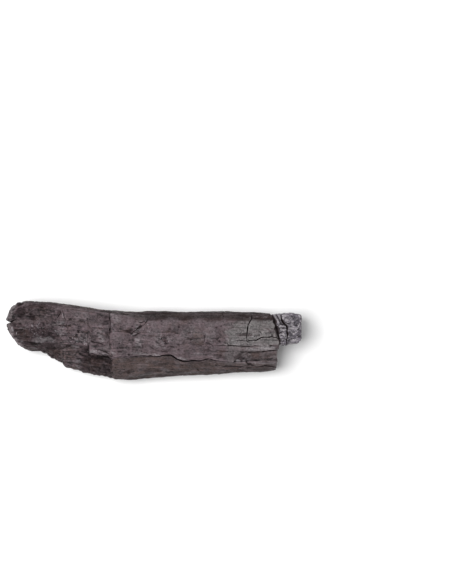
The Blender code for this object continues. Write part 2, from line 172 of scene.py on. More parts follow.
# Points lower than this are the underside. It rises in hollows where their noise is above this level, but
# not on the spot that stays flat, given as (X, Y), and its radius
UNDERSIDE = 0.3
HOLLOW_LEVEL = 0.2
REST_SPOT = (4.0, -4.0)
REST_RADIUS = 9.0

# The stub of heartwood: its outline from above, as (X, Y), its bottom and top, and the step of its grid
STUB_OUTLINE = (
    (84, 17.0), (94, 20.0), (100, 21.2), (117.0, 20.5), (117.2, 2.2), (114.8, -2.0), (108, -2.7),
    (105, -3.9), (96, -1.6), (84, -1.0),
)
STUB_BOTTOM, STUB_TOP = 9.0, 32.6
STUB_GRID = 0.75
# The middle of its section, as (Y, Z), half its width and height, and the power of its worn outline: the
# higher it is, the squarer the corners
STUB_MIDDLE, STUB_HALF, STUB_SQUARENESS = (9.0, 20.8), (11.6, 11.8), 3.6
# Its wear: the heights between which it sets in downwards, its share at the top, how much goes from the
# bottom and the end, each as (amount, unevenness), the slope of the bottom, where the end's wear sets in and
# where it is full, and the unevenness itself, as the grain's relief is given
STUB_WORN_FROM, STUB_TOP_WEAR = (14, 24), 0.15
STUB_BOTTOM_WEAR, STUB_END_WEAR, STUB_BOTTOM_SLOPE = (0.8, 1.6), (1.2, 1.6), 0.1
STUB_END_FROM, STUB_UNEVEN = (100, 117), (6.0, 5.0, 1.0)
# Its chips, as (size, height)
STUB_CHIPS, STUB_SMALL_CHIPS = (4.2, 0.7), (1.9, 0.3)

# The recess broken out above the slab at the right end, as (X, Y)
RECESS_OUTLINE = (
    (62.5, -16.9), (67.5, -13.4), (73.5, -9.7), (79, -9.0), (110, -7.2), (110, -15.0), (90, -15.3),
    (80, -16.0),
)
# Where its height is taken, its depth and slope, the share of the depth at its left end, where it deepens
# from there, its grid and its chips
RECESS_AT, RECESS_DEPTH, RECESS_SLOPE = 80.0, 3.4, 0.5
RECESS_SHALLOW, RECESS_DEEPENS = 0.35, (66, 90)
RECESS_GRID, RECESS_CHIPS = 0.85, (3.6, 0.3)
CLEAR_ABOVE = 12.0

# Cracks seen from above, each (name, path of (X, Y), widths at the surface along it, depth)
TOP_CRACKS = (
    ("long_split", SPLIT, (0.6, 0.8, 0.8, 0.9, 1.6, 1.5, 1.1, 0.8, 0.8), 8.0),
    ("notch", ((-120, 14.2), (-115.5, 15.0), (-112, 15.9), (-108.4, 16.5)), (3.6, 2.4, 1.3, 0.9), 7.0),
    ("ring_crack_left", ((-73.0, 25.2), (-71.2, 21.6), (-69.8, 16.2), (-68.4, 10.6), (-67.8, 5.4)),
     (0.7, 0.7, 0.35, 0.4, 0.6), 1.7),
    ("ring_crack_branch", ((-73.2, 23.4), (-75.0, 20.0), (-77.4, 16.0)), (1.2, 0.8, 0.6), 1.8),
    ("ring_crack_middle", ((-35.0, 22.6), (-35.0, 17.8), (-33.9, 13.8), (-34.4, 7.6), (-34.9, 4.6)),
     (0.8, 1.3, 0.4, 0.5, 1.5, 0.3), 3.2),
    ("ring_crack_low", ((-35.0, 3.0), (-34.6, -2.4), (-35.4, -6.2), (-34.6, -10.0)),
     (0.3, 0.4, 0.5, 0.3), 1.1),
    ("gash", ((-4.1, 17.3), (-7.5, 12.4), (-12.8, 9.6), (-18.1, 5.2)),
     (0.5, 1.7, 0.5, 0.4, 2.2, 1.3, 0.3, 1.6, 0.5), 2.2),
    ("gash_upper", ((-7.0, 15.4), (-9.2, 14.6), (-12.2, 14.8)), (0.6, 1.2, 0.5), 1.4),
    ("gash_lower", ((-9.4, 7.0), (-12.6, 5.6), (-14.6, 3.4)), (0.5, 1.3, 0.5), 1.4),
    ("end_crack_across", ((77.2, 20.4), (78.3, 17.8), (74.8, 12.4), (73.9, 2.3), (73.9, -0.6)),
     (1.5, 1.0, 1.1, 0.8), 6.0),
    ("end_crack_along", ((62.8, -0.2), (81.5, 0.4), (86.3, 2.8), (93.7, 3.2), (99.5, 1.3)),
     (0.6, 1.0, 1.2), 6.0),
    ("end_crack_fine", ((47.9, -4), (65.2, -4), (71.6, -4.5), (88, -4.2)), (0.8, 0.9, 0.5), 2.6),
    ("strip_undercut", ((71.5, -10.0), (76, -9.2), (86, -9.0), (92, -7.8), (99, -7.6)),
     (0.5, 0.9, 0.9, 1.5, 1.3), 2.8),
    ("recess_curve", ((74.0, -10.8), (75.6, -13.0), (78.6, -15.2)), (0.7, 1.2, 0.9), 1.8),
    ("slab_crack", ((81, -20.9), (88, -20.2), (93, -20.5), (99, -22.2)), (0.7, 1.1, 1.3, 1.0), 2.6),
    ("slab_groove", ((78, -15.4), (87, -15.2), (99, -15.5)), (0.8, 1.1, 1.1), 2.2),
    ("recess_gash", ((71.6, -15.2), (75.5, -18.2), (80.5, -20.6)), (0.9, 1.8, 0.8), 2.4),
    ("shell_gap", ((92.8, 22.2), (95.8, 17), (98.1, 9), (99.5, 2), (100.6, -2.8)),
     (2.8, 3.0, 2.3, 2.1), 3.8),
    ("stub_crack", ((100.0, 23.5), (101.7, 17.8), (103.6, 13.4), (105.9, 10.4), (106.3, 4.2), (105.6, -4.4)),
     (1.3, 1.7, 1.8, 1.3, 0.9), 3.8),
)
# Short tears and splinters in the top, as the cracks are given
TEARS = (
    ("ledge_splinter_high", ((-49.9, -0.6), (-44.0, -1.8), (-37.7, -4.2)), (0.7, 1.1, 0.6), 1.8),
    ("ledge_splinter_low", ((-42.5, -8.0), (-38.5, -8.6), (-34.9, -10.6)), (0.7, 1.3, 0.9), 2.0),
    ("hollow_splinter", ((-59.6, -11.2), (-54.5, -12.6), (-49.9, -14.8)), (0.9, 1.8, 1.0), 2.4),
)
# Cracks seen from the far side, as (X, Z)
FAR_CRACKS = (
    ("far_check_long", ((-92, 19), (-60, 20.4), (-28, 18.2), (4, 19.4)), (1.4,), 4.5),
    ("far_check_right", ((22, 25.5), (48, 26.6), (72, 24.0), (90, 24.8)), (1.2,), 4.0),
    ("far_ring_left", ((-70.4, 30), (-71.5, 22), (-69.6, 13)), (1.1,), 3.0),
    ("far_ring_middle", ((-36, 32), (-37.8, 24), (-39.6, 15), (-38.9, 7)), (1.2,), 3.5),
    ("far_ring_right", ((56, 33), (54.6, 25), (57, 14)), (1.0,), 3.0),
)
# Cracks seen from the near side, as (X, Z)
NEAR_CRACKS = (
    ("near_check", ((-24, 10.4), (8, 12.2), (40, 11.0), (70, 12.4)), (1.3,), 4.5),
    ("near_ring", ((25, 20), (22.4, 16), (23.4, 11.6)), (1.0,), 3.0),
)
# Radial cracks of the left end face, as (Y, Z), from the heart outwards
LEFT_CRACKS = (
    ("end_notch", ((15.2, 38), (14.6, 27), (13.6, 16), (12.4, -3)), (3.4, 3.9, 3.6, 2.8), 4.6),
    ("left_check_far", ((14.2, 15.6), (20.0, 14.6), (26.5, 15.8)), (1.3,), 5.0),
    ("left_check_low", ((10.4, 15.0), (6.5, 11.6), (4.2, 8.0)), (1.2,), 4.5),
)
# Radial cracks of the right end face below the stub, as (Y, Z)
RIGHT_CRACKS = (
    ("right_check_near", ((-6.0, 21.0), (-13.5, 19.0), (-20.5, 19.8)), (1.3,), 6.0),
    ("right_check_low", ((-7.5, 19.5), (-10.5, 12.5), (-12.0, 6.5)), (1.1,), 5.0),
)
CRACKS = {
    "top": TOP_CRACKS + TEARS,
    "far": FAR_CRACKS,
    "near": NEAR_CRACKS,
    "left": LEFT_CRACKS,
    "right": RIGHT_CRACKS,
}

# Cracks: the step along one and its fewest points, how far it wanders, with its slow and its quick sway as
# (share, steps), how far its cutter reaches above the surface, which part of a sine's arch its width is on,
# and how that wavers, as (share, steps)
CRACK_STEP, CRACK_POINTS = 1.1, 6
CRACK_WANDER, SLOW_SWAY, QUICK_SWAY = 0.42, (1.6, 5.5), (0.8, 1.9)
CRACK_REACH = 3.0
CRACK_ENDS = (0.1, 0.9)
CRACK_WAVER = (0.5, 2.6)

# Where a path's point lies for each view, and which way that view looks
FAR_OFF = 200.0
VIEWS = {
    "top": (lambda a, b: (a, b, FAR_OFF), (0, 0, -1)),
    "far": (lambda a, b: (a, FAR_OFF, b), (0, -1, 0)),
    "near": (lambda a, b: (a, -FAR_OFF, b), (0, 1, 0)),
    "left": (lambda a, b: (-FAR_OFF, a, b), (1, 0, 0)),
    "right": (lambda a, b: (FAR_OFF, a, b), (-1, 0, 0)),
}

# The photograph: its height in pixels, what a pixel is on the lump, the place that it is centred on, and the
# height where that holds
PHOTO_HEIGHT = 584
PIXEL = 0.8
AIM = (57.5, 38.6)
AIM_HEIGHT = 22.0
CAMERA_HEIGHT = 1400.0
SENSOR = 36.0

# The stage, in metres and watts
FLOOR_SIZE, FLOOR_GREY, FLOOR_ROUGHNESS = 6.0, 0.92, 0.9
KEY_PLACE, KEY_SIZE, KEY_POWER = (-0.48, 0.12, 1.45), 0.9, 25
SKY_STRENGTH = 0.42


# Curves and noise

def along(x, line):
    """The value at x of a line given as (x, value) pairs."""
    places, values = zip(*line)
    return np.interp(x, places, values)


def ramp(value, start, end):
    """A straight slope from 0 at the start to 1 at the end, which may be the lower."""
    return np.clip((value - start) / (end - start), 0, 1)


def rise(value, low, high):
    """A smooth step from 0 at low to 1 at high."""
    share = np.clip((value - low) / (high - low), 0, 1)
    return share * share * (3 - 2 * share)


def fall(value, low, high):
    """A smooth step from 1 at low to 0 at high."""
    return rise(-value, -high, -low)


def bump(distance, reach):
    """1 at no distance, falling smoothly to 0 at the reach."""
    return np.clip(1 - (np.asarray(distance) / reach) ** 2, 0, 1) ** 2


def swell(place, relief, shift):
    """Smooth noise that is drawn out along the grain, about -1 to 1 times the relief's height."""
    length, width, height = relief
    x, y, z = place
    return height * noise.noise(Vector((x / length, y / width, z / width + shift)))


def crest(place, relief, shift):
    """The same with sharp crests: highest where the noise passes through nought."""
    return 0.4 * relief[2] - abs(swell(place, relief, shift))


def facets(place, size, height):
    """Flat chips of a break, longer along the grain: each has its own height and leans its own way."""
    at = Vector(place) / size
    at.x /= CHIP_LENGTH
    centre = noise.voronoi(at)[1][0]
    lean = noise.noise_vector(centre * CHIP_SPREAD)
    return height * (lean.x + CHIP_LEAN * lean.dot(at - centre))


# Meshes: reading and writing points, and choosing what an operator acts on

def read(items, name):
    """One vector of each item, as rows."""
    values = np.empty(len(items) * 3)
    items.foreach_get(name, values)
    return values.reshape(-1, 3)


def points_of(mesh):
    return read(mesh.vertices, "co") / MM


def set_points(mesh, points):
    mesh.vertices.foreach_set("co", (points * MM).ravel())
    mesh.update()


def normals_of(mesh):
    return read(mesh.vertex_normals, "vector")


def only(obj):
    """The one object that is selected and active."""
    bpy.ops.object.select_all(action="DESELECT")
    obj.select_set(True)
    bpy.context.view_layer.objects.active = obj


def select_edges(obj, wanted):
    """Goes into edit mode with just these edges selected."""
    only(obj)
    bpy.ops.object.mode_set(mode="EDIT")
    bpy.ops.mesh.select_mode(type="EDGE")
    bpy.ops.mesh.select_all(action="DESELECT")
    bpy.ops.object.mode_set(mode="OBJECT")
    obj.data.edges.foreach_set("select", wanted)
    bpy.ops.object.mode_set(mode="EDIT")


def edge_ends(mesh):
    ends = np.empty(len(mesh.edges) * 2, int)
    mesh.edges.foreach_get("vertices", ends)
    return ends.reshape(-1, 2)


def named(name):
    """The object that an operator has just added, under this name."""
    made = bpy.context.object
    made.name = made.data.name = name
    return made


def rod(name, sides, cuts, end_fill):
    """A rod one unit long that is cut across into short lengths. It comes with each point's ring, counted
    from one end to the other, and its side, counted round the rod."""
    bpy.ops.object.select_all(action="DESELECT")
    bpy.ops.mesh.primitive_cylinder_add(vertices=sides, radius=1, depth=1, end_fill_type=end_fill)
    made = named(name)
    for count in cuts:
        places = read(made.data.vertices, "co")
        ends = places[edge_ends(made.data)]
        lengthwise = abs(ends[:, 0, 2] - ends[:, 1, 2]) > 1e-6
        select_edges(made, lengthwise)
        bpy.ops.mesh.subdivide(number_cuts=count)
        bpy.ops.object.mode_set(mode="OBJECT")
    places = read(made.data.vertices, "co")
    lengths = np.prod([count + 1 for count in cuts])
    ring = np.rint((places[:, 2] + 0.5) * lengths).astype(int)
    side = np.rint(np.arctan2(places[:, 1], places[:, 0]) / (2 * np.pi) * sides).astype(int) % sides
    return made, ring, side


def block(name, outline, bottom, top):
    """A straight-sided block on an outline: a filled circle that is moved to the outline and extruded."""
    bpy.ops.object.select_all(action="DESELECT")
    bpy.ops.mesh.primitive_circle_add(vertices=len(outline), fill_type="NGON")
    made = named(name)
    set_points(made.data, np.array([(x, y, bottom) for x, y in outline]))
    bpy.ops.object.mode_set(mode="EDIT")
    bpy.ops.mesh.select_all(action="SELECT")
    bpy.ops.mesh.extrude_region_move(TRANSFORM_OT_translate={"value": (0, 0, (top - bottom) * MM)})
    bpy.ops.object.mode_set(mode="OBJECT")
    face_out(made)
    return made


def face_out(obj):
    """Turns every face of a closed mesh outwards."""
    only(obj)
    bpy.ops.object.mode_set(mode="EDIT")
    bpy.ops.mesh.select_all(action="SELECT")
    bpy.ops.mesh.normals_make_consistent(inside=False)
    bpy.ops.object.mode_set(mode="OBJECT")


def regrid(obj, step):
    """Gives a solid an even fine grid of faces."""
    only(obj)
    grid = obj.modifiers.new("grid", "REMESH")
    grid.mode = "VOXEL"
    grid.voxel_size = step * MM
    bpy.ops.object.modifier_apply(modifier=grid.name)


def boolean(body, other, operation):
    """Joins the other solid to the body or cuts it from it, and removes the other."""
    only(body)
    modifier = body.modifiers.new(other.name, "BOOLEAN")
    modifier.operation = operation
    modifier.solver = "MANIFOLD"
    modifier.object = other
    bpy.ops.object.modifier_apply(modifier=modifier.name)
    bpy.data.objects.remove(other)


# The log's form, the same as the solid's, at a finer step

def ring_places():
    """Where the rings of the log lie, close together at each step across the grain."""
    stops = (LEFT, *LEDGE_BREAK, *SLAB_BREAK, RIGHT)
    places = [
        np.linspace(start, end, count + 1)[:-1]
        for start, end, count in zip(stops, stops[1:], LOG_LENGTHS)
    ]
    return np.append(np.concatenate(places), RIGHT)


def section_corners(x):
    """The corners of the section at x, as (Y, Z), from the lip of the split over the top to its foot."""
    lip, far, near = along(x, LIP_EDGE), along(x, FAR_EDGE), along(x, NEAR_EDGE)
    crown, keel = along(x, CROWN_HEIGHT), along(x, KEEL_HEIGHT)
    foot, slab = along(x, FOOT_HEIGHT), along(x, SLAB_HEIGHT)
    width = far - near
    return (
        (lip, along(x, LIP_HEIGHT)),
        (lip + CROWN_SHARE * (far - lip), crown),
        (far - along(x, FAR_SHOULDER), crown - along(x, FAR_DROP)),
        (far, FAR_WAIST[0] * crown + FAR_WAIST[1] * keel),
        (far - FAR_TOE, keel + TOE_RISE),
        (far - FAR_KEEL_SHARE * width, keel),
        (near + NEAR_KEEL_SHARE * width, keel),
        (near + NEAR_TOE, keel + TOE_RISE),
        (near, NEAR_WAIST[0] * slab + NEAR_WAIST[1] * keel),
        (near + SLAB_SHARE * (lip - near), slab),
        (lip - FOOT_UNDERCUT, foot),
    )


def section_weights(faces):
    """How much each corner of the section counts at each point round it, on a spline pulled to its chords.
    The last stretch, from the foot up to the lip, is straight."""
    corners = np.eye(len(faces))
    knots = np.vstack([2 * corners[0] - corners[1], corners, 2 * corners[-1] - corners[-2]])
    rows = []
    for i, count in enumerate(faces[:-1]):
        before, start, end, after = knots[i : i + 4]
        slope = end - before
        bend = 2 * before - 5 * start + 4 * end - after
        twist = 3 * start - before - 3 * end + after
        for t in np.arange(count) / count:
            curved = start + 0.5 * (slope * t + bend * t**2 + twist * t**3)
            straight = start + (end - start) * t
            rows.append(curved + (straight - curved) * SHARPNESS)
    for t in np.arange(faces[-1]) / faces[-1]:
        rows.append(corners[-1] + (corners[0] - corners[-1]) * t)
    return np.array(rows)


def log_surface():
    """Points of the log as an array of rings, points round a ring, and X, Y, Z. The steps across the grain
    and the ends shape each other, so they are worked out in turns."""
    weights = section_weights(SECTION_FACES)
    rings = ring_places()[:, None]
    x = np.repeat(rings, len(weights), axis=1)
    left = np.clip(1 - (x - LEFT) / LEFT_SPREAD, 0, 1) ** 2
    right = np.clip(1 - (RIGHT - x) / RIGHT_SPREAD, 0, 1)
    wobble = np.zeros_like(x)
    for _ in range(6):
        y, z = np.einsum("pc,cdrp->drp", weights, np.array(section_corners(x + wobble)))
        wobble = BREAK_WOBBLE * (np.sin(y / WAVE_ACROSS + 0.6) + 0.6 * np.sin(z / WAVE_UP + y / SMALL_WAVE))
        x = rings + left * (along(y, LEFT_END) - LEFT) + right * (along(y, RIGHT_END) - RIGHT)
    return np.stack([x, y, z], axis=-1)


def smooth_top(x, y, z):
    """1 on the smooth part of the top, to the right of the middle break, and 0 away from it."""
    return rise(z, *SMOOTH_UP) * rise(x, *SMOOTH_ALONG)


def ridges(points):
    """Long low ridges of the grain, in millimetres, for each point of the surface."""
    heights = [
        swell(place, BROAD_RIDGES, SEED)
        + crest(place, NARROW_RIDGES, -SEED) * (1 - SMOOTHED * smooth_top(*place))
        for place in points.reshape(-1, 3)
    ]
    return np.reshape(heights, points.shape[:2])


def off_the_rest(points):
    """0 on the flat spot of the underside, rising to 1 at twice its radius."""
    away = np.hypot(points[..., 0] - REST_SPOT[0], points[..., 1] - REST_SPOT[1])
    return np.clip(away / REST_RADIUS - 1, 0, 1)


def hollows(points):
    """How far the underside rises in hollows along the grain, in millimetres, for each point."""
    lift = [
        max(0, swell((x, y, 0), UNDERSIDE_HOLLOWS, SEED + 0.5) - HOLLOW_LEVEL)
        for x, y, _ in points.reshape(-1, 3)
    ]
    return np.reshape(lift, points.shape[:2]) * off_the_rest(points)


def outward(points):
    """The outward direction across the grain at each point of the rings."""
    run = np.roll(points, -1, axis=1) - np.roll(points, 1, axis=1)
    normal = np.stack([np.zeros_like(run[..., 0]), -run[..., 2], run[..., 1]], axis=-1)
    return normal / np.linalg.norm(normal, axis=-1, keepdims=True)


def end_wear(rings):
    """How far the arris of each end is worn away, for each ring."""
    short = np.clip(END_ROUND - np.minimum(rings - LEFT, RIGHT - rings), 0, END_ROUND)
    return END_WEAR * (END_ROUND - np.sqrt(END_ROUND**2 - short**2))


def close_end(log, ring_of, ring, end_line, inwards):
    """Fills an open end with a grid of faces, and gives the new face its dish and its growth rings."""
    before = len(log.data.vertices)
    rim = points_of(log.data)[: len(ring_of)][ring_of == ring]
    known = np.full(before, -1)
    known[: len(ring_of)] = ring_of
    select_edges(log, (known[edge_ends(log.data)] == ring).all(axis=1))
    bpy.ops.mesh.fill_grid(span=END_SPAN, use_interp_simple=True)
    bpy.ops.object.mode_set(mode="OBJECT")
    points = points_of(log.data)
    new = points[before:]
    from_rim = np.linalg.norm(new[:, None, 1:] - rim[None, :, 1:], axis=2).min(axis=1)
    fade = np.clip(from_rim / END_FADE, 0, 1)
    from_pith = np.hypot(new[:, 1] - PITH[0], new[:, 2] - PITH[1])
    angle = np.arctan2(new[:, 2] - PITH[1], new[:, 1] - PITH[0])
    wavy = from_pith + 0.5 * np.sin(3 * angle) + 0.3 * np.sin(7 * angle + 1)
    growth = RING_HEIGHT * np.sin(2 * np.pi * wavy / RING_WIDTH)
    rays = RAY_HEIGHT * np.sin(RAYS * angle + 0.4 * from_pith)
    dish = np.array([
        END_HOLLOWS[1] * noise.noise(Vector((y / END_HOLLOWS[0], z / END_HOLLOWS[0], inwards)))
        + END_BUMPS[1] * noise.noise(Vector((y / END_BUMPS[0], z / END_BUMPS[0], 3)))
        for _, y, z in new
    ])
    new[:, 0] = along(new[:, 1], end_line) + inwards * fade * (END_DEPTH + dish + growth + rays)
    points[before:] = new
    set_points(log.data, points)


# Where the top is broken up, each ((X, Y), reach, how much)
ROUGH_SPOTS = (
    ((-59, 4), 11, 0.6), ((-70, -3), 9, 0.4), ((6.5, 0), 9, 0.5), ((-13, 9), 7, 0.35), ((76, -14), 8, 0.3),
    ((-46, -7), 9, 0.4), ((-27, -7), 8, 0.3), ((-84, 5), 9, 0.35), ((-13, -3), 7, 0.3), ((-73, 10), 8, 0.4),
)


def roughness_of(points):
    """How rough each point of the surface is, from 0 to 1: broken at the left and low down, plain on top."""
    x, y, z = points.T
    rough = np.full(len(points), 0.10)
    rough += 0.12 * ramp(x, -34, -38)
    rough += 0.30 * ramp(x, -66, -91)
    rough += 0.45 * ramp(y, -8, -13) * ramp(x, -33, -36)
    rough += 0.40 * ramp(z, 20, 10)
    for at, reach, amount in ROUGH_SPOTS:
        rough += amount * bump(np.hypot(x - at[0], y - at[1]), reach)
    return np.clip(rough, 0, 1)


def flakes(place):
    """How deep the sprung-off layers of wood leave the surface. Each ends in a sharp edge."""
    depth = 0
    for shift, level in FLAKE_LAYERS:
        here = swell(place, FLAKES, shift) + swell(place, FLAKE_RAGS, shift)
        depth += FLAKE_DEPTH * min(1, max(0, (here - level) / FLAKE_EDGE))
    return depth


# The fine relief of burnt wood, each (form, relief, shift as times the seed, share of it on smooth wood, and
# how much more on rough wood), and the same shares for the flakes
WEATHER = (
    (crest, FIBRES, 2, 0.15, 1.1),
    (crest, THREADS, 3, 0.2, 0.9),
    (swell, LUMPS, 4, 0.5, 1.0),
    (swell, PITS, 5, 0.25, 0.9),
)
FLAKED, MORE_FLAKED = 0.2, 0.9


def fine_relief(place, rough):
    """How far out the fine relief moves a point that is as rough as this, or in, where it is less than 0."""
    push = sum(
        form(place, relief, shift * SEED) * (share + more * rough)
        for form, relief, shift, share, more in WEATHER
    )
    return push - flakes(place) * (FLAKED + MORE_FLAKED * rough)


def weather(obj):
    """Moves each point of the log out or in by the fine relief of burnt wood."""
    points, normals = points_of(obj.data), normals_of(obj.data)
    push = np.array([fine_relief(place, rough) for place, rough in zip(points, roughness_of(points))])
    underside = points[:, 2] < UNDERSIDE
    push = np.where(underside, np.minimum(push, 0) * off_the_rest(points), push)
    moved = points + normals * push[:, None]
    moved[:, 2] = np.maximum(moved[:, 2], 0)
    set_points(obj.data, moved)


def make_log():
    """The body of the log, closed at both ends and weathered."""
    cuts = (2, sum(LOG_LENGTHS) // 3 - 1)
    log, ring_of, side_of = rod("charcoal_log", sum(SECTION_FACES), cuts, "NOTHING")
    surface = log_surface()
    push = ridges(surface) - end_wear(ring_places())[:, None]
    underside = surface[..., 2] < UNDERSIDE
    push[underside] = 0
    lift = np.where(underside, hollows(surface), 0)
    surface = surface + outward(surface) * push[..., None]
    surface[..., 2] = np.maximum(surface[..., 2], 0) + lift
    set_points(log.data, surface[ring_of, side_of])
    close_end(log, ring_of, 0, LEFT_END, 1)
    close_end(log, ring_of, sum(LOG_LENGTHS), RIGHT_END, -1)
    face_out(log)
    weather(log)
    return log


def make_stub():
    """The heartwood that stands out of the right end, broken to a rough face on all sides and worn below."""
    stub = block("heartwood_stub", STUB_OUTLINE, STUB_BOTTOM, STUB_TOP)
    regrid(stub, STUB_GRID)
    points, normals = points_of(stub.data), normals_of(stub.data)
    x, y, z = points.T
    low = fall(z, *STUB_WORN_FROM)
    across = (points[:, 1:] - STUB_MIDDLE) / STUB_HALF
    beyond = (abs(across) ** STUB_SQUARENESS).sum(axis=1) ** (1 / STUB_SQUARENESS)
    pulled_in = (1 - 1 / np.maximum(beyond, 1))[:, None]
    wear = (STUB_TOP_WEAR + (1 - STUB_TOP_WEAR) * low)[:, None]
    points[:, 1:] -= (points[:, 1:] - STUB_MIDDLE) * pulled_in * wear
    uneven = np.array([swell((px, py, 0), STUB_UNEVEN, SEED) for px, py, _ in points])
    from_bottom, from_end = (amount + more * uneven for amount, more in (STUB_BOTTOM_WEAR, STUB_END_WEAR))
    z += low * (from_bottom - STUB_BOTTOM_SLOPE * (y - STUB_MIDDLE[0]))
    x -= low * rise(x, *STUB_END_FROM) * from_end
    middle = np.array((0, 0, (STUB_TOP + STUB_BOTTOM) / 2))
    push = np.array([
        swell(place - middle, STUB_FACETS, SEED) + crest(place - middle, STUB_GRAIN, -SEED)
        + facets(place, *STUB_CHIPS) + facets(place, *STUB_SMALL_CHIPS)
        for place in points
    ])
    set_points(stub.data, points + normals * push[:, None])
    return stub


def make_recess():
    """The cutter of the shallow recess, with a floor that slopes as the slab does."""
    lip_height, lip_edge = along(RECESS_AT, LIP_HEIGHT), along(RECESS_AT, LIP_EDGE)
    recess = block("recess_cutter", RECESS_OUTLINE, 0, CLEAR_ABOVE)
    regrid(recess, RECESS_GRID)
    points, normals = points_of(recess.data), normals_of(recess.data)
    fibres = np.array([
        crest(place, FIBRES, SEED) + crest(place, THREADS, SEED) + facets(place, *RECESS_CHIPS)
        for place in points
    ])
    points += normals * fibres[:, None]
    depth = RECESS_DEPTH * (RECESS_SHALLOW + (1 - RECESS_SHALLOW) * rise(points[:, 0], *RECESS_DEEPENS))
    points[:, 2] += lip_height - (lip_edge - points[:, 1]) * RECESS_SLOPE - depth
    set_points(recess.data, points)
    return recess


def wavering(count, length, random):
    """Smooth noise from about -0.5 to 0.5 for this many steps, that turns to and fro in about this many."""
    start = random.uniform(0, 100)
    return np.array([noise.noise((start + step / length, 0, 0)) for step in range(count)])


def wandering(path, random):
    """The path with points close together, each moved a little to the side, as a crack in grain runs."""
    path = np.array(path, float)
    runs = np.linalg.norm(np.diff(path, axis=0), axis=1)
    distance = np.concatenate([[0], np.cumsum(runs)])
    count = max(CRACK_POINTS, round(distance[-1] / CRACK_STEP) + 1)
    places = np.linspace(0, distance[-1], count)
    dense = np.stack([np.interp(places, distance, path[:, k]) for k in range(2)], axis=1)
    direction = np.gradient(dense, axis=0)
    direction /= np.linalg.norm(direction, axis=1, keepdims=True)
    side = np.stack([-direction[:, 1], direction[:, 0]], axis=1)
    slow, quick = (share * wavering(count, steps, random) for share, steps in (SLOW_SWAY, QUICK_SWAY))
    sway = CRACK_WANDER * (slow + quick)
    sway[[0, -1]] = 0
    return dense + side * sway[:, None], side


def surface_distances(starts, into, tree):
    """How far the surface lies from each start. One that looks past the lump takes its neighbours' value."""
    hits = [tree.ray_cast(start * MM, Vector(into))[3] for start in starts]
    found = [i for i, distance in enumerate(hits) if distance is not None]
    return np.interp(range(len(hits)), found, [hits[i] / MM for i in found])


def crack_cutter(name, path, widths, depth, view, tree, random):
    """A wedge along a crack: a three-sided rod that is bent to the path and hangs its edge into the wood."""
    place, into = VIEWS[view]
    middle, side = wandering(path, random)
    count = len(middle)
    waver = 1 + CRACK_WAVER[0] * wavering(count, CRACK_WAVER[1], random)
    taper = np.sqrt(np.sin(np.linspace(*CRACK_ENDS, count) * np.pi)) * waver
    starts = [Vector(place(a, b)) for a, b in middle]
    distances = surface_distances(starts, into, tree)
    width = np.interp(np.linspace(0, 1, count), np.linspace(0, 1, len(widths)), widths)
    corners = np.empty((count, 3, 3))
    for i, (start, distance, (side_a, side_b), share) in enumerate(zip(starts, distances, side, taper)):
        surface = start + Vector(into) * distance
        half = width[i] / 2 * share * (1 + CRACK_REACH / depth)
        across = Vector(place(side_a, side_b)) - Vector(place(0, 0))
        above = surface - Vector(into) * CRACK_REACH
        corners[i] = above + across * half, above - across * half, surface + Vector(into) * depth * share
    cutter, ring_of, side_of = rod(name + "_cutter", 3, (count - 2,), "NGON")
    set_points(cutter.data, corners[ring_of, side_of])
    face_out(cutter)
    return cutter


def without_splinters(cut):
    """The largest of the pieces that the cuts have left. The others are specks, and are removed."""
    only(cut)
    bpy.ops.mesh.separate(type="LOOSE")
    pieces = sorted(bpy.context.selected_objects, key=lambda piece: len(piece.data.vertices))
    for speck in pieces[:-1]:
        bpy.data.objects.remove(speck)
    return pieces[-1]


def make_lump():
    """The whole lump, and the surface that it had before it was cut, as a tree for measuring."""
    random = np.random.default_rng(SEED)
    lump = make_log()
    boolean(lump, make_stub(), "UNION")
    mesh = lump.data
    tree = BVHTree.FromPolygons([v.co for v in mesh.vertices], [p.vertices for p in mesh.polygons])
    boolean(lump, make_recess(), "DIFFERENCE")
    for view, cracks in CRACKS.items():
        for name, path, widths, depth in cracks:
            boolean(lump, crack_cutter(name, path, widths, depth, view, tree, random), "DIFFERENCE")
    return without_splinters(lump), tree


# The stage

def make_floor():
    bpy.ops.object.select_all(action="DESELECT")
    bpy.ops.mesh.primitive_plane_add(size=FLOOR_SIZE)
    floor = bpy.context.object
    floor.name = "pale_floor"
    material = bpy.data.materials.new("pale_floor")
    material.use_nodes = True
    shader = material.node_tree.nodes["Principled BSDF"]
    shader.inputs["Base Color"].default_value = (FLOOR_GREY, FLOOR_GREY, FLOOR_GREY, 1)
    shader.inputs["Roughness"].default_value = FLOOR_ROUGHNESS
    floor.data.materials.append(material)


def make_light(name, place, size, power):
    """A square lamp that is aimed at the origin."""
    data = bpy.data.lights.new(name, "AREA")
    data.shape = "SQUARE"
    data.size = size
    data.energy = power
    lamp = bpy.data.objects.new(name, data)
    lamp.location = place
    lamp.rotation_euler = (-Vector(place)).to_track_quat("-Z", "Y").to_euler()
    bpy.context.scene.collection.objects.link(lamp)


def make_camera():
    """A camera that looks straight down, framed as the photograph is."""
    data = bpy.data.cameras.new("camera")
    data.sensor_width = SENSOR
    distance = CAMERA_HEIGHT - AIM_HEIGHT
    data.lens = SENSOR * distance / (PHOTO_HEIGHT * PIXEL)
    camera = bpy.data.objects.new("camera", data)
    camera.location = (AIM[0] * MM, AIM[1] * MM, CAMERA_HEIGHT * MM)
    bpy.context.scene.collection.objects.link(camera)
    bpy.context.scene.camera = camera


def make_world():
    world = bpy.data.worlds.new("studio")
    bpy.context.scene.world = world
    world.use_nodes = True
    background = world.node_tree.nodes["Background"]
    background.inputs["Color"].default_value = (1, 1, 1, 1)
    background.inputs["Strength"].default_value = SKY_STRENGTH
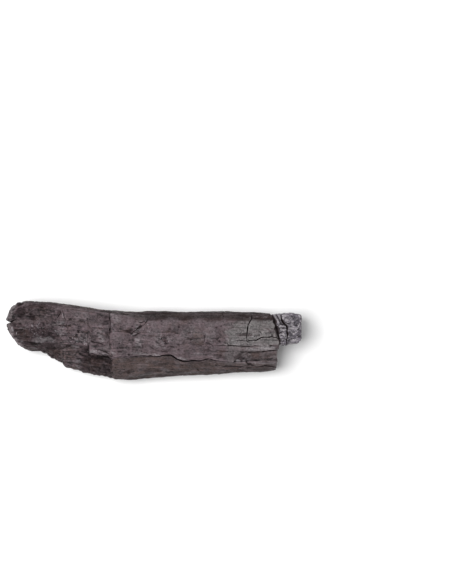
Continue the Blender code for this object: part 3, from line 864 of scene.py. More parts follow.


# Masks: how sooty, ashy, brown, worn or broken up each point of the finished surface is, and where
# shade and highlights are painted on it

# Patches seen from above, each (X, Y, half length, half width, strength): soot, and painted shade: a cast
# shadow at the far corner of the left end, the hollow below the ledge and the bottom of the near edge
SOOT_AND_SHADE_PATCHES = (
    (-108, 12.0, 6.5, 5.5, 0.22), (57, -12.8, 8.0, 3.4, 0.2), (88, -2.8, 9.0, 2.6, 0.12),
    (-107.5, 31.5, 4.5, 3.4, 0.9), (-97, 18.5, 2.6, 4.4, 0.35), (-106, 22, 4.0, 4.6, 0.4),
    (-87, 13.2, 5.0, 1.6, 0.4), (-82, 2.8, 3.6, 0.9, 0.35), (-95.5, -3.6, 4.4, 1.8, 0.5),
    (-61, -16.5, 3.6, 4.2, 0.5), (-40.5, -13.8, 7.0, 2.8, 0.9), (-57, -26.5, 8.0, 2.4, 0.7),
    (-34.6, -16.5, 2.2, 2.2, 0.7), (-52.5, -12.5, 4.0, 2.0, 0.5), (-73.5, 23.5, 2.4, 2.6, 0.4),
    (52.5, -11.8, 5.0, 2.2, 0.4), (-38, 17.5, 3.0, 4.6, 0.3), (52.0, 0.6, 1.3, 0.9, 0.6),
    (44.5, 2.8, 3.0, 0.8, 0.4), (43, -0.6, 1.2, 3.0, 0.35), (-34.8, 10.0, 2.0, 9.0, 0.3),
    (-93, 27, 9, 2.4, 0.3), (-66, -5.4, 7.0, 1.0, 0.5), (78.0, -14.8, 3.5, 1.4, 0.4),
    (93.0, -16.0, 7.0, 0.9, 0.4), (-2, 17.5, 2.2, 1.8, 0.35), (7.5, 1.0, 3.4, 2.4, 0.35),
)
# Ash at the right end, and places worn pale in the rest
ASH_PATCHES = (
    (-73, 13.5, 3.6, 6.5, 0.3), (-58, 21.0, 9.0, 4.5, 0.35), (-41.5, 4.0, 2.6, 4.4, 0.55),
    (-29, 17.0, 4.4, 3.6, 0.45), (-8.5, 17.6, 5.0, 3.4, 0.4), (-12, -2.5, 3.0, 7.0, 0.4),
    (-87, 0.6, 9.0, 2.6, 0.65), (-48, -8.4, 5.0, 1.2, 0.8), (-38.5, -7.6, 4.0, 2.6, 0.45),
    (-10, -10.6, 9.0, 1.0, 0.7), (23.0, -15.0, 3.6, 0.9, 0.8), (70.5, -2.0, 9.0, 1.4, 0.8),
    (88, -6.0, 10.0, 1.5, 0.55), (76, -7.6, 6.5, 1.0, 0.5), (-61, -18.5, 3.0, 2.6, 0.5),
    (3.0, 3.0, 4.0, 6.0, 0.4), (30, 5.0, 9, 7.0, 0.3), (45, 6.0, 5.0, 7.0, 0.35), (-55, 3.0, 6.5, 4.0, 0.4),
    (66, 10, 10.0, 8.0, 0.25), (-110, -1.5, 4.0, 6.0, 0.35), (63, 6, 6.0, 6.0, 0.4),
    (66.8, -15.4, 2.4, 0.9, 0.7),
)
# Brown wood, and the one patch of it where the fibres show
BROWN_PATCHES = (
    (-104.0, 4.6, 7.0, 7.0, 0.8), (-74, -10.5, 16.0, 7.0, 0.7), (35, 3.0, 5.5, 7.5, 0.6),
    (46.0, 16.5, 9.0, 3.0, 0.5), (-92, 22, 12.0, 7.0, 0.4), (87, -11.8, 16.0, 4.4, 0.6),
    (-47, -18.5, 10.0, 6.0, 0.8), (20, 14, 12.0, 3.0, 0.35), (52.0, -11.0, 9.0, 3.0, 0.35),
)
FIBROUS_PATCHES = BROWN_PATCHES[1:2]
# Where the wood glints
GLINT_PATCHES = (
    (-72.5, 10, 4.5, 8.0, 0.8), (-60.5, 0.5, 8.0, 6.0, 1.0), (-111.5, -0.5, 5.0, 9.0, 0.8),
    (-47, -8.6, 9.0, 1.8, 0.8), (-36, -9.5, 5.0, 3.5, 0.6), (-8, 9.6, 9.0, 4.6, 0.5),
    (7.0, 1.0, 8.0, 5.0, 0.7), (78, -14, 4.0, 3.4, 0.6), (-61, -18.5, 4.0, 3.0, 0.5),
    (80, 6, 16.0, 9.0, 0.5), (-92, 10, 12.0, 8.0, 0.35),
)
# Pale lips and splinters: worn pale, with a painted highlight in the glint colour
PALE_PATCHES = (
    (70.5, -2.1, 9.5, 1.5, 0.6), (66.8, -15.9, 2.2, 0.9, 0.7), (79.0, -8.0, 5.0, 0.9, 0.55),
    (91.0, -6.0, 9.0, 1.4, 0.65), (-47.5, -8.6, 4.0, 1.0, 0.6), (-38.0, -10.0, 4.5, 0.9, 0.6),
    (-10.5, -10.9, 8.0, 1.0, 0.6), (23.5, -14.9, 4.6, 1.1, 0.7), (4.0, -11.0, 5.0, 0.9, 0.35),
    (-73.0, 12.0, 2.6, 5.6, 0.45), (-61.5, -18.6, 3.2, 1.8, 0.5), (-87, 0.6, 9.5, 2.6, 0.6),
    (-31.0, 18.0, 2.8, 2.6, 0.4), (-11.6, 14.2, 3.6, 2.0, 0.4), (-12.5, -1.5, 2.4, 5.0, 0.35),
    (76.5, -15.0, 3.6, 1.2, 0.5), (89.0, -14.4, 8.0, 0.8, 0.4), (-111.8, -2.2, 2.6, 3.8, 0.4),
    (-40.5, 5.2, 2.0, 3.6, 0.35),
)
# Short strokes seen from above, each (X, Y, X, Y, width, strength): dark dashes and pits, and painted
# shadows below the ledge, under the end strip and along the recess's diagonal edge
DARK_STROKES = (
    (71.2, -9.2, 64.6, -14.2, 3.0, 0.62), (71.2, -9.2, 90.0, -9.2, 1.8, 0.4),
    (-92.1, 12.8, -88.9, 12.6, 1.3, 0.9), (-84.5, 3.8, -82.5, 2.6, 1.4, 0.8),
    (-88.1, 7.4, -84.1, 5.4, 1.0, 0.6), (-83.3, 5.8, -78.5, 2.2, 0.9, 0.6),
    (-77.7, -6.4, -72.1, -6.2, 0.9, 0.8), (-69.7, -4.2, -66.5, -4.4, 0.9, 0.7),
    (-95.7, 21.4, -95.6, 19.0, 1.7, 0.6), (-96.9, 17.0, -96.1, 13.8, 1.9, 0.6),
    (-108, 23.4, -104, 19.4, 2.6, 0.5), (-96.1, -3.0, -92.9, -4.2, 1.5, 0.8),
    (-99.3, -8.6, -90.5, -8.8, 1.3, 0.9), (-60.1, 7.8, -58.9, 6.2, 1.0, 0.9),
    (-56.9, 5.4, -55.3, 7.4, 1.1, 0.9), (-66.5, 2.6, -63.3, 0.6, 1.0, 0.7),
    (-58.5, -6.2, -55.3, -8.6, 0.9, 0.7), (-59.3, -11.0, -51.3, -14.6, 1.2, 0.9),
    (-52.1, -3.4, -50.9, -10.2, 1.0, 0.8), (-49.7, -0.2, -45.7, -1.8, 1.0, 0.9),
    (-44.9, -1.8, -39.3, -1.4, 0.9, 0.6), (-43.3, -7.0, -36.1, -9.0, 1.1, 0.9),
    (-42.5, -10.2, -38.5, -12.2, 1.7, 0.9), (-38.5, -13.0, -36.1, -15.0, 2.3, 1.0),
    (-44.1, 10.2, -40.9, 9.8, 1.1, 0.8), (-49.7, 7.0, -48.5, 7.8, 0.9, 0.7),
    (-27.7, -8.9, -25.3, -8.9, 1.0, 0.8), (-20.1, -11.2, -19.3, -11.6, 1.3, 0.9),
    (-40.1, -22.4, -34.5, -22.8, 0.9, 0.7), (-12.9, 9.8, -10.5, 9.2, 0.9, 0.9),
    (-14.5, 7.2, -12.9, 7.8, 1.2, 0.9), (-18.1, 6.2, -16.1, 6.0, 1.2, 0.9),
    (-16.1, 4.4, -11.7, 5.3, 0.9, 0.8), (-8.1, 17.0, -6.5, 15.0, 1.5, 0.6),
    (-5.7, 18.2, -4.1, 16.2, 1.1, 0.5), (-13.7, -8.6, -10.5, -4.6, 0.9, 0.6),
    (-8.9, -3.0, -8.5, -5.4, 0.9, 0.6), (5.1, 1.0, 8.3, 3.0, 1.0, 0.9), (11.1, 3.8, 13.1, 4.6, 1.1, 0.7),
    (2.3, -1.0, 4.7, -2.2, 1.0, 0.7), (8.7, 0.2, 11.1, -2.6, 1.0, 0.7), (-3.3, -3.4, -0.1, -6.2, 1.0, 0.6),
    (6.3, -8.2, 11.1, -9.0, 1.0, 0.6), (41.1, 5.8, 40.3, 0.2, 0.9, 0.7), (41.9, -1.4, 47.1, -3.8, 0.9, 0.7),
    (52.0, 0.0, 52.8, -0.3, 1.4, 0.9), (29.5, -1.4, 31.9, -3.4, 0.9, 0.5),
    (31.9, -3.4, 39.1, -3.0, 0.9, 0.4), (58.7, -2.6, 59.5, -3.8, 1.0, 0.8),
    (83.5, 7.4, 85.5, 5.8, 1.1, 0.7), (93.5, 5.0, 94.3, 4.6, 1.4, 0.9), (95.2, 7.2, 95.8, 6.8, 1.1, 0.6),
    (86.0, 14.8, 86.8, 14.4, 1.1, 0.5), (34.3, -23.0, 35.9, -23.8, 1.5, 0.7),
    (20.7, -19.0, 23.1, -19.8, 1.3, 0.6), (-37.7, -11.8, -32.9, -12.6, 1.5, 0.8),
    (-3.3, 19.0, 4.7, 18.6, 1.0, 0.5), (101.9, 9.8, 103.1, 10.2, 1.3, 0.9),
    (100.3, 5.8, 104.7, 7.4, 0.9, 0.8), (112.3, 12.2, 115.1, 13.0, 1.0, 0.9),
    (114.4, 3.8, 115.0, 3.4, 1.5, 0.9), (105.1, 13.8, 107.5, 13.8, 1.1, 0.8),
    (97.5, 21.0, 101.1, 13.8, 1.0, 0.8), (100.3, 12.4, 104.3, 12.6, 1.1, 0.8),
    (110.0, 19.0, 110.4, 17.4, 1.0, 0.5),
)
# Pale ones, where an edge or a splinter is worn, with a painted highlight where it catches the light
PALE_STROKES = (
    (-113.3, 10.6, -112.5, 7.8, 1.5, 0.9), (-106.9, -1.6, -104.9, -0.6, 1.3, 0.8),
    (-108.5, -3.0, -106.9, -4.4, 1.3, 0.9), (-96.9, 12.2, -96.3, 11.2, 1.3, 0.8),
    (-92.9, 11.8, -91.3, 9.8, 1.0, 0.5), (-95.3, -6.2, -94.5, -7.4, 1.2, 0.8),
    (-83.3, -0.2, -80.1, -1.0, 2.0, 0.5), (-72.1, 21.4, -71.7, 19.0, 1.7, 0.6),
    (-72.9, 16.2, -71.7, 11.4, 1.5, 0.5), (-78.1, 8.2, -76.9, 7.0, 1.3, 0.7),
    (-76.1, 5.8, -71.3, 4.6, 1.1, 0.5), (-69.7, 7.4, -68.9, 4.2, 1.3, 0.5),
    (-62.5, 1.8, -60.1, -0.6, 1.4, 0.8), (-55.7, -2.2, -52.9, -3.0, 1.1, 0.8),
    (-65.3, -4.6, -60.1, -5.4, 1.1, 0.7), (-63.3, -19.0, -60.9, -21.0, 2.0, 0.7),
    (-60.1, -16.6, -58.9, -19.0, 1.6, 0.5), (-46.5, -8.6, -44.1, -8.8, 1.7, 0.9),
    (-49.7, -4.6, -47.3, -5.4, 2.2, 0.4), (-40.9, -10.2, -36.9, -11.4, 1.0, 0.7),
    (-33.7, -9.4, -30.5, -10.2, 1.1, 0.7), (-43.3, 12.2, -40.9, 11.4, 1.1, 0.6),
    (-42.5, 5.0, -40.1, -0.6, 2.6, 0.5), (-33.7, 21.0, -29.7, 20.2, 2.0, 0.4),
    (-33.5, 17.0, -29.7, 16.2, 1.5, 0.4), (-32.9, 13.8, -32.1, 11.4, 1.5, 0.5),
    (-33.3, 9.8, -30.9, 5.8, 1.3, 0.5), (-14.5, 13.8, -12.9, 10.6, 2.4, 0.45),
    (-10.9, 15.4, -9.7, 13.8, 1.5, 0.5), (-13.3, 8.5, -10.5, 8.9, 1.0, 0.9),
    (-16.9, 5.0, -12.9, 6.3, 1.0, 1.0), (-14.1, 1.8, -11.3, -0.6, 2.4, 0.7),
    (-11.9, -0.6, -11.3, -4.6, 1.4, 0.5), (-1.7, -11.1, 3.9, -11.2, 1.2, 1.0),
    (-6.1, -10.9, -2.5, -11.0, 1.0, 0.7), (2.3, 1.8, 3.5, 0.2, 1.3, 0.8), (4.7, 3.4, 6.3, 4.6, 1.0, 0.7),
    (6.7, -0.6, 7.9, -3.0, 1.5, 0.8), (1.5, -3.8, 4.7, -5.0, 1.0, 0.6), (7.1, -5.0, 9.5, -6.2, 1.0, 0.6),
    (11.1, 1.4, 14.3, 0.2, 1.7, 0.4), (19.1, -13.8, 23.9, -14.9, 1.3, 0.8),
    (32.7, -10.2, 39.1, -10.2, 1.3, 0.5), (43.9, 1.8, 47.1, -1.4, 2.2, 0.4),
    (57.5, 2.6, 59.1, 0.2, 1.7, 0.6), (61.5, 0.2, 67.1, 0.5, 1.0, 0.8), (63.5, -2.6, 71.9, -3.0, 1.7, 0.8),
    (79.9, -2.6, 85.5, -3.0, 1.3, 0.5), (72.0, -6.6, 84.0, -7.0, 1.4, 0.7),
    (83.1, -6.8, 92.1, -6.4, 1.8, 0.9), (91.1, -5.9, 99.5, -5.2, 2.0, 0.8),
    (65.3, -15.8, 68.3, -16.0, 2.0, 1.0), (70.7, -16.2, 72.3, -16.2, 1.0, 0.8),
    (80.3, -17.8, 81.5, -19.8, 1.3, 0.8), (75.9, -10.2, 77.1, -11.0, 1.1, 0.6),
    (92.7, -13.4, 97.5, -13.2, 1.6, 0.5), (86.3, -17.8, 97.5, -17.2, 1.5, 0.4),
    (79.1, 19.2, 90.3, 19.2, 1.1, 0.7), (76.4, 18.4, 77.0, 18.0, 1.1, 0.6),
    (7.1, -24.8, 12.7, -24.6, 0.9, 0.6), (49.5, -20.2, 51.1, -20.6, 1.1, 0.5),
    (62.3, -22.6, 65.5, -23.0, 0.9, 0.4), (-6.1, -16.6, -4.9, -17.4, 1.3, 0.5),
    (102.3, 8.6, 104.7, 8.6, 1.7, 1.0), (100.6, 9.0, 101.2, 8.6, 1.4, 1.0),
    (103.1, 5.0, 103.9, 3.4, 1.4, 1.0), (104.7, 16.2, 106.3, 16.2, 1.8, 1.0),
    (109.6, 15.2, 110.2, 14.8, 1.6, 0.9), (109.6, 12.8, 110.2, 12.4, 1.4, 1.0),
    (107.1, 9.6, 114.3, 9.6, 1.4, 0.9), (104.0, 20.4, 106.0, 19.4, 1.4, 0.8),
    (108.7, 0.2, 114.3, 0.2, 1.1, 0.6), (107.9, -2.3, 113.5, -2.3, 1.2, 0.9),
    (95.5, 21.6, 99.9, 12.4, 1.1, 0.9), (98.7, 21.6, 102.3, 14.6, 1.1, 0.7),
)
# Where the ashy zone of the right end starts, how much later it does at the far side, and how far its border
# is blurred
ASH_FROM, ASH_SLANT, ASH_BORDER = 57.5, 9.0, 3.6
# The grey rim of the left end: it is full up to the first distance from the end, and gone at the second
RIM_BORDER = (3.2, 4.8)

# The soft border of a patch and of a stroke, as shares of its half width, and how far a stroke is blurred
PATCH_BORDER, STROKE_BORDER, STROKE_BLUR = (0.55, 1.25), (0.5, 1.3), 0.25
# What makes the borders of patches ragged, each (size, how far it moves them), and how much of that the
# strokes get
BORDER_RAGS, STROKE_RAGS = ((6.0, 2.6), (1.7, 1.1)), 0.25
# Wide and small mottles of the burning, given as the grain's relief is, and the shift of each
WIDE_MOTTLE, WIDE_SHIFT = (31.0, 11.0, 1.0), 5
SMALL_MOTTLE, SMALL_SHIFT = (8.0, 4.0, 1.0), -3

# Zones of the surface, each with where it sets in and where it is full. What faces up: its normal, evened
# this many times, and its height
FACING_ROUNDS, FACING, FACING_ABOVE = 8, (0.15, 0.45), (12, 18)
# The bands inside the far edge: the wide one, the thin one to its left, and where one follows the other
FAR_BAND, THIN_BAND, FAR_ALONG = (-7.4, -3.2), (-2.0, -0.6), (-22, 2)
# The slab, from the lip down, and the near edge, from this far above it
SLAB_BELOW, SLAB_ALONG = (0.2, 1.4), (-34.5, -33)
LOW_EDGE, LOW_EDGE_BORDER, LOW_EDGE_ALONG = 3.6, (0, 2.5), (-60, -40)
# The hollow below the ledge, its left end with its slant, its right end, and its height
HOLLOW_BELOW, HOLLOW_LEFT, HOLLOW_SLANT = (0.5, 4), (-57, -51), 0.3
HOLLOW_RIGHT, HOLLOW_ABOVE = (-34.8, -31.0), (5, 15)
# The recess: its left end with its slant, its near side, and its far side and how far up it faces, for the
# points of its floor and for its faces
RECESS_LEFT, RECESS_SLANT, RECESS_NEAR = 64, 1.5, -17.5
RECESS_FLOOR_FAR, RECESS_FLOOR_FACING = -8.5, 0.5
RECESS_FACES_FAR, RECESS_FACES_FACING, RECESS_FACES_ABOVE = -6, 0.3, 20

# How far a point stands out to be a full crest, each (rounds of evening, millimetres). Crests are lighter
# as worn edges, and painted shade darkens the hollows between them
CRESTS = ((1, 0.16), (14, 0.5))
# Points this close to the uncut surface aren't cut, faces this deep are walls of cracks, and the depth that
# fills the mask, which the materials turn into painted shade deeper in the cracks
UNCUT_WITHIN, WALLS_FROM, FULL_DEPTH = 0.12, 0.2, 5.0
# How far in from the end's line a face of the left and of the right end may lie, and how far it faces out.
# Then where the stub's faces start: beyond the line of the right end, on the near side and in height
END_WITHIN, END_FACING = (3.0, 4.0), 0.55
STUB_FROM, STUB_NEAR, STUB_LOW = 0.3, -5.5, 8


def warped(points):
    """The points seen from above, each moved a little, so that a patch has a ragged border."""
    moves = np.array([
        sum((noise.noise_vector(Vector(place) / size) * move for size, move in BORDER_RAGS), Vector())
        for place in points
    ])
    return points[:, :2] + moves[:, :2]


def patched(places, patches):
    """The strength of the strongest patch at each place."""
    strength = np.zeros(len(places))
    for x, y, half_length, half_width, most in patches:
        far = np.hypot((places[:, 0] - x) / half_length, (places[:, 1] - y) / half_width)
        strength = np.maximum(strength, most * fall(far, *PATCH_BORDER))
    return strength


def stroked(places, strokes):
    """The strength of the strongest stroke at each place. A stroke is widest at its middle."""
    strength = np.zeros(len(places))
    for start_x, start_y, end_x, end_y, width, most in strokes:
        start, run = np.array((start_x, start_y)), np.array((end_x - start_x, end_y - start_y))
        share = np.clip((places - start) @ run / (run @ run), 0, 1)
        far = np.linalg.norm(places - start - share[:, None] * run, axis=1)
        half = 0.5 * width * (1 - 0.5 * abs(2 * share - 1)) + STROKE_BLUR
        strength = np.maximum(strength, most * fall(far / half, *STROKE_BORDER))
    return strength


def evened(mesh, values, rounds):
    """The values of each point averaged with those of its neighbours, this many times over."""
    ends = edge_ends(mesh)
    count = np.bincount(ends.ravel(), minlength=len(values))[:, None]
    mean = values.copy()
    for _ in range(rounds):
        total = np.zeros_like(mean)
        np.add.at(total, ends[:, 0], mean[ends[:, 1]])
        np.add.at(total, ends[:, 1], mean[ends[:, 0]])
        mean = (mean + total / count) / 2
    return mean


def convexity(mesh, points, normals, rounds):
    """How far each point stands out from its surroundings, in millimetres. More rounds make those wider."""
    return ((points - evened(mesh, points, rounds)) * normals).sum(axis=1)


def zones_of(mesh, points, normals):
    """For each point its place, its place as patches see it, the mottles there, how far it lies from the far
    edge and below the lip, and how much it belongs to each zone, from 0 to 1."""
    x, y, z = points.T
    places = warped(points)
    wide = np.array([swell(place, WIDE_MOTTLE, WIDE_SHIFT) for place in points])
    small = np.array([swell(place, SMALL_MOTTLE, SMALL_SHIFT) for place in points])
    facing_up = rise(evened(mesh, normals, FACING_ROUNDS)[:, 2], *FACING) * rise(z, *FACING_ABOVE)
    across_far = y - along(x, FAR_EDGE)
    far_along = rise(x, *FAR_ALONG)
    below_lip = along(x, LIP_EDGE) - y
    hollow = rise(below_lip, *HOLLOW_BELOW) * rise(x - HOLLOW_SLANT * y, *HOLLOW_LEFT)
    recess_left = RECESS_LEFT + RECESS_SLANT * (y - RECESS_OUTLINE[0][1])
    recess_floor = (y > RECESS_NEAR) & (y < RECESS_FLOOR_FAR) & (normals[:, 2] > RECESS_FLOOR_FACING)
    from_end = x - along(y, LEFT_END)
    return SimpleNamespace(
        x=x, y=y, z=z,
        places=places, wide=wide, small=small,
        across_far=across_far, below_lip=below_lip,
        facing_up=facing_up, side=1 - facing_up,
        far_band=rise(across_far + 1.6 * small, *FAR_BAND) * far_along,
        thin_far=rise(across_far, *THIN_BAND) * (1 - far_along),
        slab=rise(below_lip, *SLAB_BELOW) * rise(x, *SLAB_ALONG),
        low_edge=rise(along(x, NEAR_EDGE) + LOW_EDGE - y, *LOW_EDGE_BORDER) * rise(x, *LOW_EDGE_ALONG),
        hollow=hollow * (1 - rise(places[:, 0], *HOLLOW_RIGHT)) * rise(z, *HOLLOW_ABOVE),
        rim=1 - rise(from_end, *RIM_BORDER),
        in_recess=(x > recess_left) & recess_floor,
    )


def soot_and_shade_of(at):
    """How sooty each point is, with painted shade where the top turns away in the far band and at the far
    edge, in the recess, along the near edge and in the hollow below the ledge. The upper part of the far band
    is evenly so, and the left end more than the rest, but for its grey rim."""
    soot_and_shade = np.maximum.reduce([
        patched(at.places, SOOT_AND_SHADE_PATCHES) * at.facing_up,
        0.93 * at.far_band * at.facing_up,
        at.in_recess * (0.05 + 0.25 * fall(at.x, 68, 78)),
        0.25 * at.thin_far * at.facing_up,
        0.35 * at.low_edge,
        at.hollow * (0.48 + 0.27 * fall(at.below_lip, 3, 7)),
        at.side * (0.32 + 0.5 * rise(at.wide + at.small, 0.1, 0.7)),
    ])
    upper_band = at.far_band * rise(at.z, 14, 22)
    soot_and_shade = soot_and_shade * (1 - upper_band) + upper_band * np.clip(soot_and_shade, 0.56, 0.68)
    soot_and_shade = np.maximum(soot_and_shade, 0.2 * at.rim * rise(at.y, 10, 16))
    soot_and_shade += 0.3 * fall(at.x, -80, -72) * (1 - at.rim) * at.facing_up
    soot_and_shade += 0.28 * fall(at.x, -78, -70) * fall(at.y, 8, 13) * (1 - at.rim) * at.facing_up
    soot_and_shade += 0.13 * rise(at.x, -70, -64) * (1 - rise(at.x, -38, -33)) * at.facing_up
    return soot_and_shade


def ash_of(at, worn):
    """How ashy each point is: the zone of the right end, the worn places, the rim of the left end and the
    sides."""
    start = ASH_FROM + ASH_SLANT * rise(at.y, 6, 19) + 4.0 * (at.small + at.wide)
    zone = rise(at.places[:, 0] - start, -ASH_BORDER, ASH_BORDER)
    near_side = 0.45 + 0.55 * rise(at.places[:, 1], -5.5, -2.5)
    zone *= (1 - rise(at.across_far, -5.6, -3.6)) * (1 - at.slab) * near_side
    ash = np.maximum(worn * (0.4 + 0.6 * rise(at.x, 50, 60)), 0.76 * zone)
    return np.maximum.reduce([
        np.where(at.in_recess, 0.15, ash * (1 - 0.8 * at.far_band)) * at.facing_up,
        at.rim * rise(at.z, 6, 12) * (0.25 + 0.15 * rise(at.y, 2, 12)),
        at.side * 0.4 * rise(at.wide - at.small, 0.15, 0.6),
    ])


def brown_of(at):
    """How brown each point is. The brown of the far band also darkens it as painted shade where the top turns
    away.
    """
    brown = np.maximum.reduce([patched(at.places, BROWN_PATCHES), 0.85 * at.slab, 0.9 * at.far_band])
    return np.maximum(brown * at.facing_up, at.side * (0.35 + 0.5 * rise(at.small - at.wide, 0, 0.6)))


def fibres_of(at):
    """How much the fibres show at each point."""
    return 0.2 + 0.8 * np.maximum.reduce([
        0.9 * at.slab, at.far_band, at.thin_far, at.hollow, 0.8 * at.side,
        0.9 * patched(at.places, FIBROUS_PATCHES),
    ])


def paint_masks(mesh, uncut):
    """Stores the masks that the materials read. It gives back how deep each point lies below the uncut
    surface."""
    points, normals = points_of(mesh), normals_of(mesh)
    at = zones_of(mesh, points, normals)
    depth = np.array([uncut.find_nearest(Vector(place) * MM)[3] for place in points]) / MM
    depth = np.where((depth < UNCUT_WITHIN) | at.in_recess, 0, depth)
    nearly = points[:, :2] + STROKE_RAGS * (at.places - points[:, :2])
    worn = patched(at.places, ASH_PATCHES)
    lips = 0.6 * patched(at.places, PALE_PATCHES) + 0.35 * worn * (1 - rise(at.x, 50, 60))
    glints = patched(at.places, GLINT_PATCHES) * at.facing_up
    rough = roughness_of(points)
    # Crests lighten worn edges, and their hollows get painted shade
    crests = sum(convexity(mesh, points, normals, rounds) / height for rounds, height in CRESTS)
    calm = 1 - 0.55 * at.slab - 0.35 * at.hollow - 0.4 * at.far_band
    masks = {
        "crest": 0.5 + 0.5 * crests * (0.35 + 0.9 * rough) * calm,
        "rough": rough,
        "dark": stroked(nearly, DARK_STROKES) * at.facing_up,
        "soot_and_shade": soot_and_shade_of(at),
        "ash": ash_of(at, worn),
        "pale": np.maximum(lips, stroked(nearly, PALE_STROKES)) * at.facing_up,
        "brown": brown_of(at),
        "fibrous": fibres_of(at),
        "glint": glints + 0.10 + 0.15 * at.side * rise(at.small, 0.1, 0.5),
        "depth": depth / FULL_DEPTH,
    }
    for name, values in masks.items():
        mesh.attributes.new(name, "FLOAT", "POINT").data.foreach_set("value", np.clip(values, 0, 1))
    return depth


def choose_materials(mesh, depth):
    """Gives each face its material: charred face, broken heartwood, end grain or the wall of a crack."""
    slots = {material.name: index for index, material in enumerate(mesh.materials)}
    x, y, z = (read(mesh.polygons, "center") / MM).T
    outwards, _, upwards = read(mesh.polygons, "normal").T
    deepest = np.array([depth[list(face.vertices)].max() for face in mesh.polygons])
    left, right = along(y, LEFT_END), along(y, RIGHT_END)
    left_end = (x < left + END_WITHIN[0]) & (outwards < -END_FACING)
    right_end = (x > right - END_WITHIN[1]) & (outwards > END_FACING)
    stub = (x > right + STUB_FROM) & (y > STUB_NEAR) & (z > STUB_LOW)
    recess = (x > RECESS_LEFT) & (y > RECESS_NEAR) & (y < RECESS_FACES_FAR)
    recess &= (z > RECESS_FACES_ABOVE) & (upwards > RECESS_FACES_FACING)
    chosen = np.full(len(x), slots["charred_face"])
    chosen[left_end | right_end] = slots["end_grain"]
    chosen[stub] = slots["broken_heartwood"]
    chosen[(deepest > WALLS_FROM) & ~recess] = slots["crack_walls"]
    mesh.polygons.foreach_set("material_index", chosen)


# Materials

# Linear colours of the lump
CHAR_COLOUR = (0.079, 0.056, 0.063, 1)
BROWN_COLOUR = (0.062, 0.040, 0.037, 1)
ASH_COLOUR = (0.132, 0.124, 0.123, 1)
# Soot, which also paints the shade of hollows, cracks, the recess and the far band
SOOT_AND_SHADE_COLOUR = (0.011, 0.008, 0.008, 1)
GLINT_COLOUR = (0.40, 0.37, 0.39, 1)
SILVER_COLOUR = (0.085, 0.075, 0.090, 1)


def node(tree, kind, inputs=(), **settings):
    """Adds a node. Each input is a value, or a socket that it is linked to."""
    made = tree.nodes.new(kind)
    for name, value in settings.items():
        setattr(made, name, value)
    for name, value in dict(inputs).items():
        if isinstance(value, bpy.types.NodeSocket):
            tree.links.new(value, made.inputs[name])
        else:
            made.inputs[name].default_value = value
    return made


def calculate(tree, operation, first, second=0.0, third=0.0):
    return node(tree, "ShaderNodeMath", {0: first, 1: second, 2: third}, operation=operation).outputs[0]


def plus(tree, first, second):
    return calculate(tree, "ADD", first, second)


def minus(tree, first, second):
    return calculate(tree, "SUBTRACT", first, second)


def times(tree, first, second):
    return calculate(tree, "MULTIPLY", first, second)


def times_plus(tree, first, second, third):
    return calculate(tree, "MULTIPLY_ADD", first, second, third)


def largest(tree, value, *others):
    for other in others:
        value = calculate(tree, "MAXIMUM", value, other)
    return value


def vectors(tree, operation, first, second):
    """A sum, a difference or a product of two vectors."""
    return node(tree, "ShaderNodeVectorMath", {0: first, 1: second}, operation=operation).outputs[0]


def scaled(tree, vector, scale):
    return node(tree, "ShaderNodeVectorMath", {0: vector, 3: scale}, operation="SCALE").outputs[0]


def between(tree, value, low, high, at_low=0.0, at_high=1.0):
    """A smooth step of a value, from at_low to at_high."""
    inputs = {"Value": value, "From Min": low, "From Max": high, "To Min": at_low, "To Max": at_high}
    return node(tree, "ShaderNodeMapRange", inputs, interpolation_type="SMOOTHSTEP").outputs[0]


def blend(tree, share, first, second, kind="MIX"):
    """A mix of two colours."""
    inputs = {0: share, 6: first, 7: second}
    return node(tree, "ShaderNodeMix", inputs, data_type="RGBA", blend_type=kind).outputs[2]


def toned(tree, colour, tone, darkest):
    """The colour made lighter or darker by a tone round 0, but never darker than this share of it."""
    light = largest(tree, plus(tree, tone, 1.0), darkest)
    grey = node(tree, "ShaderNodeCombineColor", {0: light, 1: light, 2: light}).outputs[0]
    return blend(tree, 1.0, colour, grey, "MULTIPLY")


def grain_noise(tree, vector, size, detail=3.0, roughness=0.55):
    """Noise on coordinates in millimetres, with features about as large as the size."""
    inputs = {"Vector": vector, "Scale": 1.0 / size, "Detail": detail, "Roughness": roughness}
    return node(tree, "ShaderNodeTexNoise", inputs).outputs[0]


def stretched(tree, vector, length):
    """Coordinates that draw a pattern out along the grain."""
    return vectors(tree, "MULTIPLY", vector, (1.0 / length, 1, 1))


def ragged(tree, vector, size, move):
    """Coordinates that noise moves to and fro, for a pattern with ragged borders."""
    moves = node(tree, "ShaderNodeTexNoise", {"Vector": vector, "Scale": 1 / size, "Detail": 2.0}).outputs[1]
    moves = vectors(tree, "SUBTRACT", moves, (0.5, 0.5, 0.5))
    return vectors(tree, "ADD", vector, scaled(tree, moves, move))


def new_group(name, inputs, outputs):
    """An empty node group with named inputs and outputs, each (name, kind)."""
    tree = bpy.data.node_groups.new(name, "ShaderNodeTree")
    for label, kind in inputs:
        tree.interface.new_socket(label, in_out="INPUT", socket_type="NodeSocket" + kind)
    for label, kind in outputs:
        tree.interface.new_socket(label, in_out="OUTPUT", socket_type="NodeSocket" + kind)
    return tree, tree.nodes.new("NodeGroupInput").outputs, tree.nodes.new("NodeGroupOutput").inputs


def place_group(tree, group, inputs):
    return node(tree, "ShaderNodeGroup", inputs, node_tree=group).outputs


def wood_fibre_group():
    """Streaks along the grain: a tone from -1 to 1, and a height from 0 to 1."""
    outputs = [("Tone", "Float"), ("Height", "Float")]
    tree, given, out = new_group("wood_fibre", [("Vector", "Vector")], outputs)
    coarse = grain_noise(tree, stretched(tree, given["Vector"], 9.0), 1.5, detail=4.0, roughness=0.6)
    fine = grain_noise(tree, stretched(tree, given["Vector"], 14.0), 0.6, roughness=0.6)
    both = plus(tree, times(tree, coarse, 0.62), times(tree, fine, 0.38))
    tree.links.new(between(tree, both, 0.30, 0.70, -1.0, 1.0), out["Tone"])
    tree.links.new(between(tree, both, 0.34, 0.60), out["Height"])
    return tree


